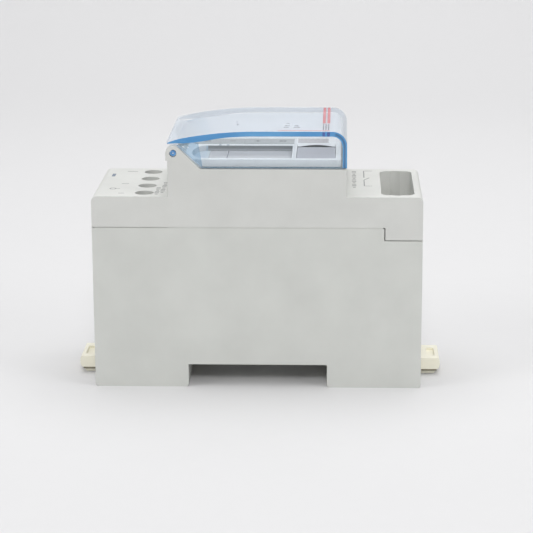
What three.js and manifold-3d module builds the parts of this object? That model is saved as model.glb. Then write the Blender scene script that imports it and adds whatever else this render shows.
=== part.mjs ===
// A two-module timer switch for a 35 mm mounting rail, as an assembly of separate pieces.
//
// Millimetres. The origin is the middle of the rail seat, the face that lies on the rail's flanges.
// +Z leaves the rail, X runs along the height of the panel cut-out with the lid's hinge at -X,
// and Y runs across the modules, along the rail.

import * as THREE from "three";
import { mergeVertices } from "three/addons/utils/BufferGeometryUtils.js";
import Module from "manifold-3d";

const wasm = await Module();
wasm.setup();

// ---------------------------------------------------------------- driving dimensions

const MODULE = 17.5; // pitch of rail-mounted devices
const HALF_WIDTH = MODULE; // two modules wide
const HALF_LENGTH = 41.87; // body, end face to end face
const FRONT_LEFT = -22.4; // raised front, which fills a 45 mm panel cut-out
const FRONT_RIGHT = 22.5;
const NOTCH_HALF = 17.8; // rail notch, 35.6 mm across
const FOOT_Z = -6.0; // underside of the two feet
const SEAM_Z = 36.1; // split between the lower and upper housings
const SEAM_RIGHT_Z = 32.9; // the split drops beside the right-hand terminals
const SEAM_STEP_X = 32.3;
const SHOULDER_Z = 44.1; // terminal shoulders
const DECK_Z = 51.2; // top of the raised front, under the lid
const FOOT_R = 0.9; // rounding under the end faces
const SHOULDER_R = 1.6; // rounding over the end faces
const WALL = 1.6; // housing walls
const GAP = 0.3; // clearance between neighbouring pieces
const SEAM_GAP = 0.25;
const PAST = 1; // how far a cutting block runs past the face that it opens

const TERMINAL = {
  pitch: 8.6,
  leftX: -28.75,
  rightX: 35.6,
  tongueTop: 27.0,
  tongueThickness: 1.0,
  tongueHalfWidth: 1.9,
  cageHalfLength: 3.2,
  cageHalfWidth: 3.3,
  cageWall: 0.8,
  cageRoof: 1.2,
  wireGap: 4.6, // free height under the tongue with the clamp open
  screwHeadR: 2.1,
  screwR: 1.3,
  recessDepth: 0.9,
  recessLong: 1.6, // half the length of each arm of the crossed recess
  recessWide: 0.3, // and half its width
  accessR: 2.4,
  tongueInner: 10.0, // how far the tongue runs inwards from the screw
  riserHeight: 2.2,
};
const TERMINAL_Y = [-1.5, -0.5, 0.5, 1.5].map((step) => step * TERMINAL.pitch);
const HEAD_UNDERSIDE = TERMINAL.tongueTop + 6.2;
const HEAD_TOP = HEAD_UNDERSIDE + 1.6;
const CAGE_FLOOR = TERMINAL.tongueTop - TERMINAL.tongueThickness - TERMINAL.wireGap;
const CAGE_CEILING = TERMINAL.tongueTop + 0.4;

// The bays that the cages rise in: thin-walled at the flanks, with a partition between cages.
const CAGE_BAY = { leftX0: -33.0, leftX1: -24.5, z0: 19.5, leftTop: 33.5, sideWall: 0.9 };
const PARTITION = { leftX1: -25.0, rightX0: 31.9, halfY: 0.4, z0: 1.0, z1: 31.5 };
const WIRE_MOUTH = { halfY: 3.0, drop: 0.3, height: 6.2, radius: 0.6 };

// Solid blocks under the shoulders that guide the screws, and the well over the right-hand ones.
const LEFT_BLOCK = { x0: -33.5, x1: -24.0 };
const RIGHT_BLOCK_BOTTOM = 35.1; // inside the lower housing's walls
const WELL = { x0: 31.4, x1: 39.8, y0: -14.8, y1: 14.9, radius: 2.0, floor: 36.3 };

// Snap hooks that hang from the upper housing inside the lower one's flanks.
const HOOK = { x: [-11, 11], halfX: 3, thickness: 1.2, bottom: 31.0, rootZ: 3, rootThickness: 1.6 };
const BOARD_POST = { x: [-19.5, 26.0], halfX: 1.5, halfY: 1.3, z0: 1.0 };
const DECK_OPENING = { x0: -17.4, x1: 20.4, halfY: 14.2 };

const HINGE = { x: -20.95, z: 55.2, earR: 1.9, earThickness: 1.8, holeR: 0.95, pinR: 0.75 };
const EAR_DIAGONAL = 37.0; // x + z along the ear's sloping edge
const LID = {
  bottom: 51.5,
  top: 60.8,
  right: 22.7,
  corner: 3.7,
  sweepR: 101, // radius of the top's fall towards the hinge
  roof: 1.3,
  endWall: 1.15,
  sideWall: 1.1,
  armThickness: 1.5,
  armRight: -17.6, // where the arm meets the roof
  earGap: 0.4, // clearance round the ear
};

const PANEL = { x0: -18.6, x1: 21.2, halfY: 15.6, bottom: 51.5, top: 53.3 };
const WINDOW = { x0: -17.0, shoulder: -13.4, x1: 8.7, y0: -13.8, y1: 2.9 };
const LENS_TOP = PANEL.top - 1.4;
const LENS_BOTTOM = LENS_TOP - 1.2;
const KEY_POCKET = { x0: 9.8, x1: 19.8, y0: -13.8, y1: 5.0 };
const KEY_CAP = { y1: 1.4, z0: 51.4, z1: 53.2 }; // it ends beside the finger groove
const KEY_PULL = { x0: 11.0, x1: 18.6, z0: 51.5, z1: 52.2, reach: 0.5 };
const KEY_BLADE = { x0: 11.6, x1: 18.0, y0: -7.0, y1: -5.4, bottom: 46.5 };
const KEY_SOCKET = { y0: -13.4, y1: 4.8, z1: 51.0 };

// Four flush keys side by side in one long opening.
const BUTTON = {
  pitch: 6.6,
  firstX: -13.9,
  y: 8.6,
  halfX: 3.12,
  halfY: 3.2,
  top: 53.4,
  flangeZ0: 50.4,
  flangeZ1: 51.2,
  flangeLip: 0.5,
  stemZ: 49.4,
  stemR: 1.4,
};
const BUTTON_NAMES = ["menu_button", "minus_button", "plus_button", "ok_button"];
const MAT = { halfY: 3.8, overhang: 3.2, z0: 45.3, z1: 46.3 };
const DOME = { baseR: 2.6, shoulderR: 2.3, topR: 1.7, shoulderZ: 47.4, rimZ: 48.4, topZ: 48.6 };

const CLIP = {
  nose: 16.5,
  tip: 47.4,
  top: -1.5,
  bottom: -4.5,
  halfWidth: 6.0,
  leafHalf: 5.0,
  leafStart: 24.0,
  leafTop: -5.0,
  leafBottom: -5.85,
};
const CLIP_SLOT = { x0: 44.0, x1: 46.0, halfY: 3.5 };
const CHANNEL = { top: -1.2, floor: -4.8, noseGap: 0.8 };
const FOOT_POCKET = { starts: [20.2, 31.0], length: 8.8, y: 12.1, halfY: 3.4 };

const POWER_BOARD = { x0: -24.0, x1: 31.2, halfY: 15.2, z0: 24.1, z1: 25.7 };
const ISOLATION_SLOT = { x0: -3, x1: 12, y: 9.6, halfY: 0.8 };
const DISPLAY_BOARD = { x0: -20.2, x1: 20.2, halfY: 15.3, z0: 43.4, z1: 45.0 };
const DISPLAY_STACK = { bottom: DISPLAY_BOARD.z1 + GAP, guideTop: 47.9, lcdBottom: 48.2, lcdTop: 50.4 };

const LINK = { pins: 8, pinPitch: 2.54, pinHalf: 0.32, y: 13.45, barHalfX: 10.4, barHalfY: 1.25 };
const RELAY = { x0: -20.0, x1: 0.5, width: 10.2, height: 15.7, y: [-14.2, 4.0] };
const FILM_CAP = { x0: 3.0, x1: 21.0, y0: -13.6, y1: -5.1, height: 14.0 };
const CAN = { x: 8.0, y: 7.5, radius: 4.0, crimpR: 3.7, endR: 3.6, height: 12.0 };
const VARISTOR = { x0: 20.0, x1: 23.4, y: 6.5, radius: 3.8, drop: 4.2 };
const FUSE = { x: 26.5, y0: -9.0, y1: 0.5, radius: 1.75, drop: 2.0 };
const CELL = { x: -1.0, y: -1.7, radius: 10.0, lidR: 8.6, thickness: 3.2, drop: 1.5 };
const CHIP = { x0: -16.0, x1: -6.0, halfY: 5.0, height: 1.4 };
const CRYSTAL = { x0: -2.0, x1: 1.8, y0: -6.0, y1: 5.0, height: 3.4 };

// ---------------------------------------------------------------- finishes

const finish = (color, roughness, metalness = 0, extra = {}) => ({
  color,
  roughness,
  metalness,
  ...extra,
});

const FINISHES = {
  lower_shell: finish(0xcfd0cb, 0.55),
  upper_shell: finish(0xe2e3e0, 0.5),
  panel: finish(0xe6e6e6, 0.45),
  lid_clear: finish(0xb8cfe8, 0.08, 0, { transparent: true, opacity: 0.4 }),
  lens: finish(0xaab0b4, 0.08, 0, { transparent: true, opacity: 0.5 }),
  lcd_glass: finish(0x8d9190, 0.15),
  light_guide: finish(0xf2f4f2, 0.2),
  rubber: finish(0x3a3a3c, 0.8),
  board: finish(0x2f6b3e, 0.5),
  key_cap: finish(0xb9b5bf, 0.45),
  socket: finish(0x2a2a2c, 0.6),
  button: finish(0xd2d3d6, 0.5),
  clip: finish(0xe9e4cf, 0.45),
  screw_steel: finish(0xb9b9b6, 0.35, 1),
  cage_steel: finish(0xc3c1ba, 0.4, 1),
  tongue_brass: finish(0xc9a55a, 0.35, 1),
  relay_case: finish(0x1f3a63, 0.4),
  film_case: finish(0xc9b23c, 0.45),
  can: finish(0x3b3f45, 0.4),
  cell: finish(0xc8c8c4, 0.3, 1),
  varistor: finish(0x2557a0, 0.5),
  chip: finish(0x1c1c1d, 0.5),
  resistor: finish(0x6f8f6a, 0.5),
  pins: finish(0xbfae76, 0.35, 1),
};

// ---------------------------------------------------------------- solids

// A closed geometry as a manifold solid.
function toSolid(geometry) {
  const bare = geometry.clone();
  for (const name of Object.keys(bare.attributes)) {
    if (name !== "position") bare.deleteAttribute(name);
  }
  const merged = mergeVertices(bare, 1e-4);
  return new wasm.Manifold(
    new wasm.Mesh({
      numProp: 3,
      vertProperties: new Float32Array(merged.attributes.position.array),
      triVerts: new Uint32Array(merged.index.array),
    }),
  );
}

function toGeometry(solid) {
  const mesh = solid.getMesh();
  const geometry = new THREE.BufferGeometry();
  geometry.setAttribute("position", new THREE.BufferAttribute(mesh.vertProperties, 3));
  geometry.setIndex(new THREE.BufferAttribute(mesh.triVerts, 1));
  const faceted = geometry.toNonIndexed();
  faceted.computeVertexNormals();
  return faceted;
}

const join = (first, ...rest) =>
  toGeometry(rest.reduce((sum, piece) => sum.add(toSolid(piece)), toSolid(first)));

const cut = (body, ...tools) =>
  toGeometry(tools.reduce((left, tool) => left.subtract(toSolid(tool)), toSolid(body)));

const block = (x0, x1, y0, y1, z0, z1) =>
  new THREE.BoxGeometry(x1 - x0, y1 - y0, z1 - z0).translate(
    (x0 + x1) / 2,
    (y0 + y1) / 2,
    (z0 + z1) / 2,
  );

// Round bars along each axis, from a to b.
const barZ = (x, y, a, b, r, sides = 16) =>
  new THREE.CylinderGeometry(r, r, b - a, sides).rotateX(Math.PI / 2).translate(x, y, (a + b) / 2);
const barY = (x, z, a, b, r, sides = 16) =>
  new THREE.CylinderGeometry(r, r, b - a, sides).translate(x, (a + b) / 2, z);
const barX = (y, z, a, b, r, sides = 16) =>
  new THREE.CylinderGeometry(r, r, b - a, sides).rotateZ(Math.PI / 2).translate((a + b) / 2, y, z);

// An outline in X and Z, carried along Y from y0 to y1.
const slab = (outline, y0, y1, curveSegments = 8) =>
  new THREE.ExtrudeGeometry(outline, { depth: y1 - y0, curveSegments, bevelEnabled: false })
    .translate(0, 0, -y1)
    .rotateX(Math.PI / 2);

// An outline in X and Y, raised from z0 to z1.
const plate = (outline, z0, z1, curveSegments = 4) =>
  new THREE.ExtrudeGeometry(outline, { depth: z1 - z0, curveSegments, bevelEnabled: false }).translate(
    0,
    0,
    z0,
  );

// A profile in Y and Z, carried along X from x0 to x1.
const runX = (outline, x0, x1) =>
  new THREE.ExtrudeGeometry(outline, { depth: x1 - x0, curveSegments: 2, bevelEnabled: false })
    .rotateX(Math.PI / 2)
    .rotateZ(Math.PI / 2)
    .translate(x0, 0, 0);

const polygon = (points) => new THREE.Shape(points.map(([a, b]) => new THREE.Vector2(a, b)));

// A rectangle with round corners.
function roundedRect(a0, a1, b0, b1, radius) {
  const shape = new THREE.Shape();
  shape.absarc(a1 - radius, b0 + radius, radius, -Math.PI / 2, 0, false);
  shape.absarc(a1 - radius, b1 - radius, radius, 0, Math.PI / 2, false);
  shape.absarc(a0 + radius, b1 - radius, radius, Math.PI / 2, Math.PI, false);
  shape.absarc(a0 + radius, b0 + radius, radius, Math.PI, 1.5 * Math.PI, false);
  return shape;
}

// A polygon whose corners are rounded where a radius is given as the third number.
function filleted(points) {
  const shape = new THREE.Shape();
  const count = points.length;
  points.forEach(([x, z, radius = 0], i) => {
    const corner = new THREE.Vector2(x, z);
    if (radius === 0) {
      if (i === 0) shape.moveTo(x, z);
      else shape.lineTo(x, z);
      return;
    }
    const before = new THREE.Vector2(...points[(i + count - 1) % count].slice(0, 2));
    const after = new THREE.Vector2(...points[(i + 1) % count].slice(0, 2));
    const start = before.sub(corner).setLength(radius).add(corner);
    const end = after.sub(corner).setLength(radius).add(corner);
    if (i === 0) shape.moveTo(start.x, start.y);
    else shape.lineTo(start.x, start.y);
    shape.quadraticCurveTo(x, z, end.x, end.y);
  });
  shape.closePath();
  return shape;
}

// ---------------------------------------------------------------- the assembly

const timer = new THREE.Group();
timer.name = "din_rail_timer";

function place(name, geometry, finishName) {
  const material = new THREE.MeshStandardMaterial(FINISHES[finishName]);
  material.name = finishName;
  const mesh = new THREE.Mesh(geometry, material);
  mesh.name = name;
  timer.add(mesh);
}

// ---------------------------------------------------------------- housings

// The lower housing: a tray with two feet that straddle the rail, the channels of the rail clips,
// the wire entries and the partitions that guide the terminal cages.
function lowerHousing() {
  const top = SEAM_Z - SEAM_GAP / 2;
  const topRight = SEAM_RIGHT_Z - SEAM_GAP / 2;
  const stepX = SEAM_STEP_X - SEAM_GAP / 2;
  const outline = filleted([
    [-HALF_LENGTH, FOOT_Z, FOOT_R],
    [-NOTCH_HALF, FOOT_Z, FOOT_R],
    [-NOTCH_HALF, 0],
    [NOTCH_HALF, 0],
    [NOTCH_HALF, FOOT_Z, FOOT_R],
    [HALF_LENGTH, FOOT_Z, FOOT_R],
    [HALF_LENGTH, topRight],
    [stepX, topRight],
    [stepX, top],
    [-HALF_LENGTH, top],
  ]);
  const inside = HALF_LENGTH - WALL;
  const insideY = HALF_WIDTH - WALL;
  const bayY = HALF_WIDTH - CAGE_BAY.sideWall;
  const tray = cut(
    slab(outline, -HALF_WIDTH, HALF_WIDTH),
    block(-inside, inside, -insideY, insideY, WALL, SEAM_Z + PAST),
    block(CAGE_BAY.leftX0, CAGE_BAY.leftX1, -bayY, bayY, CAGE_BAY.z0, CAGE_BAY.leftTop),
    block(stepX + 0.2, inside, -bayY, bayY, CAGE_BAY.z0, SEAM_Z),
  );

  const additions = [];
  const { halfY, z0, z1 } = PARTITION;
  const end = inside + WALL / 3; // a partition runs into the end wall
  for (const y of [-TERMINAL.pitch, 0, TERMINAL.pitch]) {
    additions.push(block(-end, PARTITION.leftX1, y - halfY, y + halfY, z0, z1));
    additions.push(block(PARTITION.rightX0, end, y - halfY, y + halfY, z0, z1));
  }
  for (const x of BOARD_POST.x) {
    for (const side of [-1, 1]) {
      const y = side * (insideY - GAP);
      additions.push(
        block(
          x - BOARD_POST.halfX,
          x + BOARD_POST.halfX,
          y - BOARD_POST.halfY,
          y + BOARD_POST.halfY,
          BOARD_POST.z0,
          POWER_BOARD.z0 - GAP,
        ),
      );
    }
  }
  return cut(join(tray, ...additions), ...footOpenings(-1), ...footOpenings(1));
}

// What is cut from one end: the clip's channel, the pockets that thin the foot, the wire entries.
function footOpenings(end) {
  const span = (a, b) => (end < 0 ? [-b, -a] : [a, b]);
  const outer = HALF_LENGTH + PAST;
  const start = CLIP.nose - CHANNEL.noseGap;
  const halfTab = CLIP.halfWidth + GAP;
  const halfLeaf = CLIP.leafHalf + GAP;
  const openings = [
    block(...span(start, outer), -halfTab, halfTab, CHANNEL.floor, CHANNEL.top),
    block(...span(start, outer), -halfLeaf, halfLeaf, FOOT_Z - PAST, CHANNEL.floor + 0.1),
    block(...span(start, NOTCH_HALF), -halfTab, halfTab, CHANNEL.floor + 0.1, 0.6),
  ];
  for (const x of FOOT_POCKET.starts) {
    for (const side of [-1, 1]) {
      const y = side * FOOT_POCKET.y;
      const [y0, y1] = [y - FOOT_POCKET.halfY, y + FOOT_POCKET.halfY];
      openings.push(block(...span(x, x + FOOT_POCKET.length), y0, y1, FOOT_Z - PAST, 0));
    }
  }
  const { halfY, drop, height, radius } = WIRE_MOUTH;
  const mouthFloor = CAGE_FLOOR - drop;
  for (const y of TERMINAL_Y) {
    const mouth = roundedRect(y - halfY, y + halfY, mouthFloor, mouthFloor + height, radius);
    openings.push(runX(mouth, ...span(HALF_LENGTH - WALL - PAST, outer)));
  }
  return openings;
}

// The hinge ear in each flank: a round eye on a gusset that slopes down to the deck.
function earOutline() {
  const eye = HINGE.earR;
  const diagonal = eye * Math.SQRT1_2;
  const shape = new THREE.Shape();
  shape.moveTo(FRONT_LEFT, DECK_Z - PAST);
  shape.lineTo(FRONT_LEFT, HINGE.z - eye);
  shape.lineTo(HINGE.x - eye, HINGE.z - eye);
  shape.absarc(HINGE.x, HINGE.z, eye, Math.PI, Math.PI / 4, true);
  shape.lineTo(HINGE.x + diagonal, EAR_DIAGONAL - HINGE.x - diagonal);
  shape.lineTo(EAR_DIAGONAL - DECK_Z + PAST, DECK_Z - PAST);
  shape.closePath();
  return shape;
}

// The upper housing: terminal shoulders, the raised front with its deck, and the hinge ears.
function upperHousing() {
  const bottom = SEAM_Z + SEAM_GAP / 2;
  const bottomRight = SEAM_RIGHT_Z + SEAM_GAP / 2;
  const stepX = SEAM_STEP_X + SEAM_GAP / 2;
  const outline = filleted([
    [-HALF_LENGTH, bottom],
    [stepX, bottom],
    [stepX, bottomRight],
    [HALF_LENGTH, bottomRight],
    [HALF_LENGTH, SHOULDER_Z, SHOULDER_R],
    [FRONT_RIGHT, SHOULDER_Z],
    [FRONT_RIGHT, DECK_Z],
    [FRONT_LEFT, DECK_Z],
    [FRONT_LEFT, SHOULDER_Z],
    [-HALF_LENGTH, SHOULDER_Z, SHOULDER_R],
  ]);
  const inside = HALF_LENGTH - WALL;
  const insideY = HALF_WIDTH - WALL;
  const ceiling = SHOULDER_Z - WALL;
  const hollow = polygon([
    [-inside, bottomRight - PAST],
    [inside, bottomRight - PAST],
    [inside, ceiling],
    [FRONT_RIGHT - WALL, ceiling],
    [FRONT_RIGHT - WALL, DECK_Z - WALL],
    [FRONT_LEFT + WALL, DECK_Z - WALL],
    [FRONT_LEFT + WALL, ceiling],
    [-inside, ceiling],
  ]);
  const shell = cut(
    slab(outline, -HALF_WIDTH, HALF_WIDTH),
    slab(hollow, -insideY, insideY),
  );

  const into = WALL / 3; // how far a block runs into the wall that carries it
  const blockTop = SHOULDER_Z - 1;
  const [wellX, wideY, end] = [WELL.x0 - WALL, insideY + into, inside + into];
  const rightY = insideY - GAP;
  const additions = [
    block(LEFT_BLOCK.x0, LEFT_BLOCK.x1, -wideY, wideY, bottom, blockTop),
    block(wellX, end, -wideY, wideY, bottom + 0.2, blockTop),
    block(wellX, end, -rightY, rightY, RIGHT_BLOCK_BOTTOM, blockTop),
  ];
  for (const side of [-1, 1]) {
    const outer = side * HALF_WIDTH;
    const inner = side * (HALF_WIDTH - HINGE.earThickness);
    additions.push(slab(earOutline(), Math.min(outer, inner), Math.max(outer, inner)));
    for (const x of HOOK.x) {
      const [x0, x1, rootTop] = [x - HOOK.halfX, x + HOOK.halfX, bottom + HOOK.rootZ];
      const half = HOOK.thickness / 2;
      const y = side * (insideY - GAP - half);
      additions.push(block(x0, x1, y - half, y + half, HOOK.bottom, rootTop));
      const halfRoot = HOOK.rootThickness / 2;
      const rootY = side * (insideY - halfRoot / 2);
      additions.push(block(x0, x1, rootY - halfRoot, rootY + halfRoot, bottom + 0.4, rootTop));
    }
  }

  const well = roundedRect(WELL.x0, WELL.x1, WELL.y0, WELL.y1, WELL.radius);
  const { x0, x1, halfY } = DECK_OPENING;
  const eyeEnd = HALF_WIDTH + PAST;
  const removals = [
    plate(well, WELL.floor, SHOULDER_Z + PAST, 5),
    block(x0, x1, -halfY, halfY, DECK_Z - WALL - PAST, DECK_Z + PAST),
    barY(HINGE.x, HINGE.z, -eyeEnd, eyeEnd, HINGE.holeR, 16),
  ];
  const { leftX, rightX, accessR } = TERMINAL;
  for (const y of TERMINAL_Y) {
    removals.push(barZ(leftX, y, bottom - PAST, SHOULDER_Z + PAST, accessR, 20));
    removals.push(barZ(rightX, y, RIGHT_BLOCK_BOTTOM - PAST, SHOULDER_Z, accessR, 16));
  }
  return cut(join(shell, ...additions), ...removals);
}

// ---------------------------------------------------------------- lid

// Height of the lid's roof at x, for a face `inset` below the outer one.
function roofAt(x, inset) {
  const radius = LID.sweepR - inset;
  const fall = x < 0 ? radius - Math.sqrt(radius * radius - x * x) : 0;
  return LID.top - inset - fall;
}

// The roof line from right to left, added to a shape.
function addRoof(shape, inset, fromX, toX) {
  shape.lineTo(fromX, roofAt(fromX, inset));
  shape.lineTo(0, LID.top - inset);
  const steps = 6;
  for (let i = 1; i <= steps; i += 1) {
    const x = (toX * i) / steps;
    shape.lineTo(x, roofAt(x, inset));
  }
}

// The lid's side, open round the ear.
function lidOutline() {
  const clear = HINGE.earR + LID.earGap;
  const diagonal = EAR_DIAGONAL + LID.earGap * 1.5;
  const shape = new THREE.Shape();
  shape.moveTo(diagonal - LID.bottom, LID.bottom);
  shape.lineTo(LID.right, LID.bottom);
  shape.lineTo(LID.right, LID.top - LID.corner);
  shape.absarc(LID.right - LID.corner, LID.top - LID.corner, LID.corner, 0, Math.PI / 2, false);
  addRoof(shape, 0, LID.right - LID.corner, FRONT_LEFT);
  shape.lineTo(FRONT_LEFT, HINGE.z + clear);
  shape.lineTo(HINGE.x, HINGE.z + clear);
  shape.absarc(HINGE.x, HINGE.z, clear, Math.PI / 2, Math.PI / 4, true);
  shape.closePath();
  return shape;
}

function lidHollow() {
  const radius = LID.corner - LID.roof;
  const right = LID.right - LID.endWall;
  const top = LID.top - LID.roof;
  const shape = new THREE.Shape();
  const left = FRONT_LEFT - 3 * PAST;
  shape.moveTo(left, LID.bottom - PAST);
  shape.lineTo(right, LID.bottom - PAST);
  shape.lineTo(right, top - radius);
  shape.absarc(right - radius, top - radius, radius, 0, Math.PI / 2, false);
  addRoof(shape, LID.roof, right - radius, left);
  shape.closePath();
  return shape;
}

// The arm that hangs from the roof beside each ear and carries the hinge pin.
function lidArmOutline() {
  const inRoof = LID.roof / 2;
  const shape = new THREE.Shape();
  shape.moveTo(FRONT_LEFT, roofAt(FRONT_LEFT, inRoof));
  shape.absarc(HINGE.x, HINGE.z, HINGE.earR, Math.PI * 0.85, Math.PI * 2, false);
  shape.lineTo(LID.armRight, roofAt(LID.armRight, inRoof));
  shape.closePath();
  return shape;
}

// A hinge pin, from y0 to y1.
const pin = (y0, y1) => barY(HINGE.x, HINGE.z, y0, y1, HINGE.pinR, 14);

function lid() {
  const inside = HALF_WIDTH - LID.sideWall;
  const shell = cut(
    slab(lidOutline(), -HALF_WIDTH, HALF_WIDTH),
    slab(lidHollow(), -inside, inside),
  );
  const armOuter = HALF_WIDTH - HINGE.earThickness - GAP;
  const armInner = armOuter - LID.armThickness;
  const pinEnd = HALF_WIDTH - GAP;
  const near = [slab(lidArmOutline(), -armOuter, -armInner), pin(-pinEnd, -armInner - GAP)];
  const far = [slab(lidArmOutline(), armInner, armOuter), pin(armInner + GAP, pinEnd)];
  return join(shell, ...near, ...far);
}

// ---------------------------------------------------------------- front panel and display

// The display window, bowed at its hinge end.
function windowOutline(inset = 0) {
  const { x0, shoulder, x1, y0, y1 } = WINDOW;
  const middle = (y0 + y1) / 2;
  const shape = new THREE.Shape();
  shape.moveTo(shoulder, y0 + inset);
  shape.lineTo(x1 - inset, y0 + inset);
  shape.lineTo(x1 - inset, y1 - inset);
  shape.lineTo(shoulder, y1 - inset);
  shape.quadraticCurveTo(x0 + 0.4 + inset, y1 - 1 - inset, x0 + inset, middle);
  shape.quadraticCurveTo(x0 + 0.4 + inset, y0 + 1 + inset, shoulder, y0 + inset);
  return shape;
}

const buttonX = (index) => BUTTON.firstX + index * BUTTON.pitch;
const LAST_BUTTON_X = buttonX(BUTTON_NAMES.length - 1);

function frontPanel() {
  const body = plate(
    roundedRect(PANEL.x0, PANEL.x1, -PANEL.halfY, PANEL.halfY, 0.9),
    PANEL.bottom,
    PANEL.top,
  );
  const { x0, x1, y0, y1 } = KEY_POCKET;
  const halfX = BUTTON.halfX + GAP;
  const halfY = BUTTON.halfY + GAP;
  const [left, right] = [BUTTON.firstX - halfX, LAST_BUTTON_X + halfX];
  const [bottom, top] = [PANEL.bottom - PAST, PANEL.top + PAST];
  return cut(
    body,
    plate(windowOutline(), bottom, top, 6),
    plate(roundedRect(x0, x1, y0, y1, 0.6), bottom, top),
    plate(roundedRect(left, right, BUTTON.y - halfY, BUTTON.y + halfY, 0.7), bottom, top),
  );
}

// A key: its cap, a flange that keeps it under the panel and a stem that presses the dome.
function button(x) {
  const { halfX, halfY, y, top, flangeZ0, flangeZ1, flangeLip, stemZ, stemR } = BUTTON;
  const [x0, x1] = [x - halfX, x + halfX];
  const inFlange = (flangeZ0 + flangeZ1) / 2;
  const cap = plate(roundedRect(x0, x1, y - halfY, y + halfY, 0.5), inFlange, top);
  const flangeX = halfX - flangeLip;
  const flangeY = halfY + flangeLip;
  const [near, far] = [y - flangeY, y + flangeY];
  const flange = block(x - flangeX, x + flangeX, near, far, flangeZ0, flangeZ1);
  return join(cap, flange, barZ(x, y, stemZ, flangeZ1, stemR, 12));
}

function buttonMat() {
  const [x0, x1] = [BUTTON.firstX - MAT.overhang, LAST_BUTTON_X + MAT.overhang];
  const sheet = block(x0, x1, BUTTON.y - MAT.halfY, BUTTON.y + MAT.halfY, MAT.z0, MAT.z1);
  const profile = [
    [0, MAT.z1 - GAP],
    [DOME.baseR, MAT.z1 - GAP],
    [DOME.shoulderR, DOME.shoulderZ],
    [DOME.topR, DOME.rimZ],
    [0, DOME.topZ],
  ].map(([r, z]) => new THREE.Vector2(r, z));
  const domes = BUTTON_NAMES.map((name, i) =>
    new THREE.LatheGeometry(profile, 14).rotateX(Math.PI / 2).translate(buttonX(i), BUTTON.y, 0),
  );
  return join(sheet, ...domes);
}

// The memory key: a cap that fills its pocket, a pull lip and the blade with its contacts.
function programmingKey() {
  const { x0, x1, y0 } = KEY_POCKET;
  const outline = roundedRect(x0 + GAP, x1 - GAP, y0 + GAP, KEY_CAP.y1, 0.5);
  const cap = plate(outline, KEY_CAP.z0, KEY_CAP.z1);
  const { y1: bladeY1, bottom } = KEY_BLADE;
  const blade = block(KEY_BLADE.x0, KEY_BLADE.x1, KEY_BLADE.y0, bladeY1, bottom, KEY_CAP.z0 + GAP);
  const [pullY0, pullY1] = [KEY_CAP.y1 - 2 * GAP, KEY_CAP.y1 + KEY_PULL.reach];
  const pull = block(KEY_PULL.x0, KEY_PULL.x1, pullY0, pullY1, KEY_PULL.z0, KEY_PULL.z1);
  return join(cap, blade, pull);
}

function keySocket() {
  const { y0, y1, z1 } = KEY_SOCKET;
  const [x0, x1] = [KEY_POCKET.x0 + 0.1, KEY_POCKET.x1 - 0.1];
  const body = block(x0, x1, y0, y1, DISPLAY_STACK.bottom, z1);
  const slot = block(
    KEY_BLADE.x0 - GAP - 0.1,
    KEY_BLADE.x1 + GAP + 0.1,
    KEY_BLADE.y0 - GAP - 0.1,
    KEY_BLADE.y1 + GAP + 0.1,
    KEY_BLADE.bottom - 0.5,
    z1 + PAST,
  );
  return cut(body, slot);
}

const displayLens = () => plate(windowOutline(GAP), LENS_BOTTOM, LENS_TOP, 6);

const lcdPanel = () => block(-17.0, 9.3, -13.9, 4.2, DISPLAY_STACK.lcdBottom, DISPLAY_STACK.lcdTop);

const { bottom: STACK_BOTTOM, guideTop: GUIDE_TOP } = DISPLAY_STACK;

const lightGuide = () => block(-16.6, 8.9, -13.6, 2.2, STACK_BOTTOM, GUIDE_TOP);

const zebraStrip = () => block(-15.5, 7.5, 2.6, 3.9, STACK_BOTTOM, GUIDE_TOP);

// ---------------------------------------------------------------- boards and their parts

function displayBoard() {
  const { x0, x1, halfY, z0, z1 } = DISPLAY_BOARD;
  return block(x0, x1, -halfY, halfY, z0, z1);
}

function powerBoard() {
  const { x0, x1, halfY, z0, z1 } = POWER_BOARD;
  const half = ISOLATION_SLOT.halfY;
  const slots = [-ISOLATION_SLOT.y, ISOLATION_SLOT.y].map((y) =>
    block(ISOLATION_SLOT.x0, ISOLATION_SLOT.x1, y - half, y + half, z0 - PAST, z1 + PAST),
  );
  return cut(block(x0, x1, -halfY, halfY, z0, z1), ...slots);
}

// Where the parts of the power board start, under it and over it.
const UNDER_BOARD = POWER_BOARD.z0 - GAP;
const OVER_BOARD = POWER_BOARD.z1 + GAP;

// A row of square pins in a moulded bar, from one board up to the other.
function boardLink() {
  const { pins: count, pinPitch, pinHalf, y, barHalfX, barHalfY } = LINK;
  const bar = block(-barHalfX, barHalfX, y - barHalfY, y + barHalfY, OVER_BOARD, OVER_BOARD + 2.5);
  const top = DISPLAY_BOARD.z0 - GAP;
  const pins = [];
  for (let i = 0; i < count; i += 1) {
    const x = (i - (count - 1) / 2) * pinPitch;
    const [y0, y1] = [y - pinHalf, y + pinHalf];
    pins.push(block(x - pinHalf, x + pinHalf, y0, y1, OVER_BOARD + 1, top));
  }
  return join(bar, ...pins);
}

function relay(y0) {
  const outline = roundedRect(RELAY.x0, RELAY.x1, y0, y0 + RELAY.width, 0.6);
  return plate(outline, UNDER_BOARD - RELAY.height, UNDER_BOARD);
}

function dropperCapacitor() {
  const { x0, x1, y0, y1, height } = FILM_CAP;
  return plate(roundedRect(x0, x1, y0, y1, 0.6), UNDER_BOARD - height, UNDER_BOARD);
}

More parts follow.
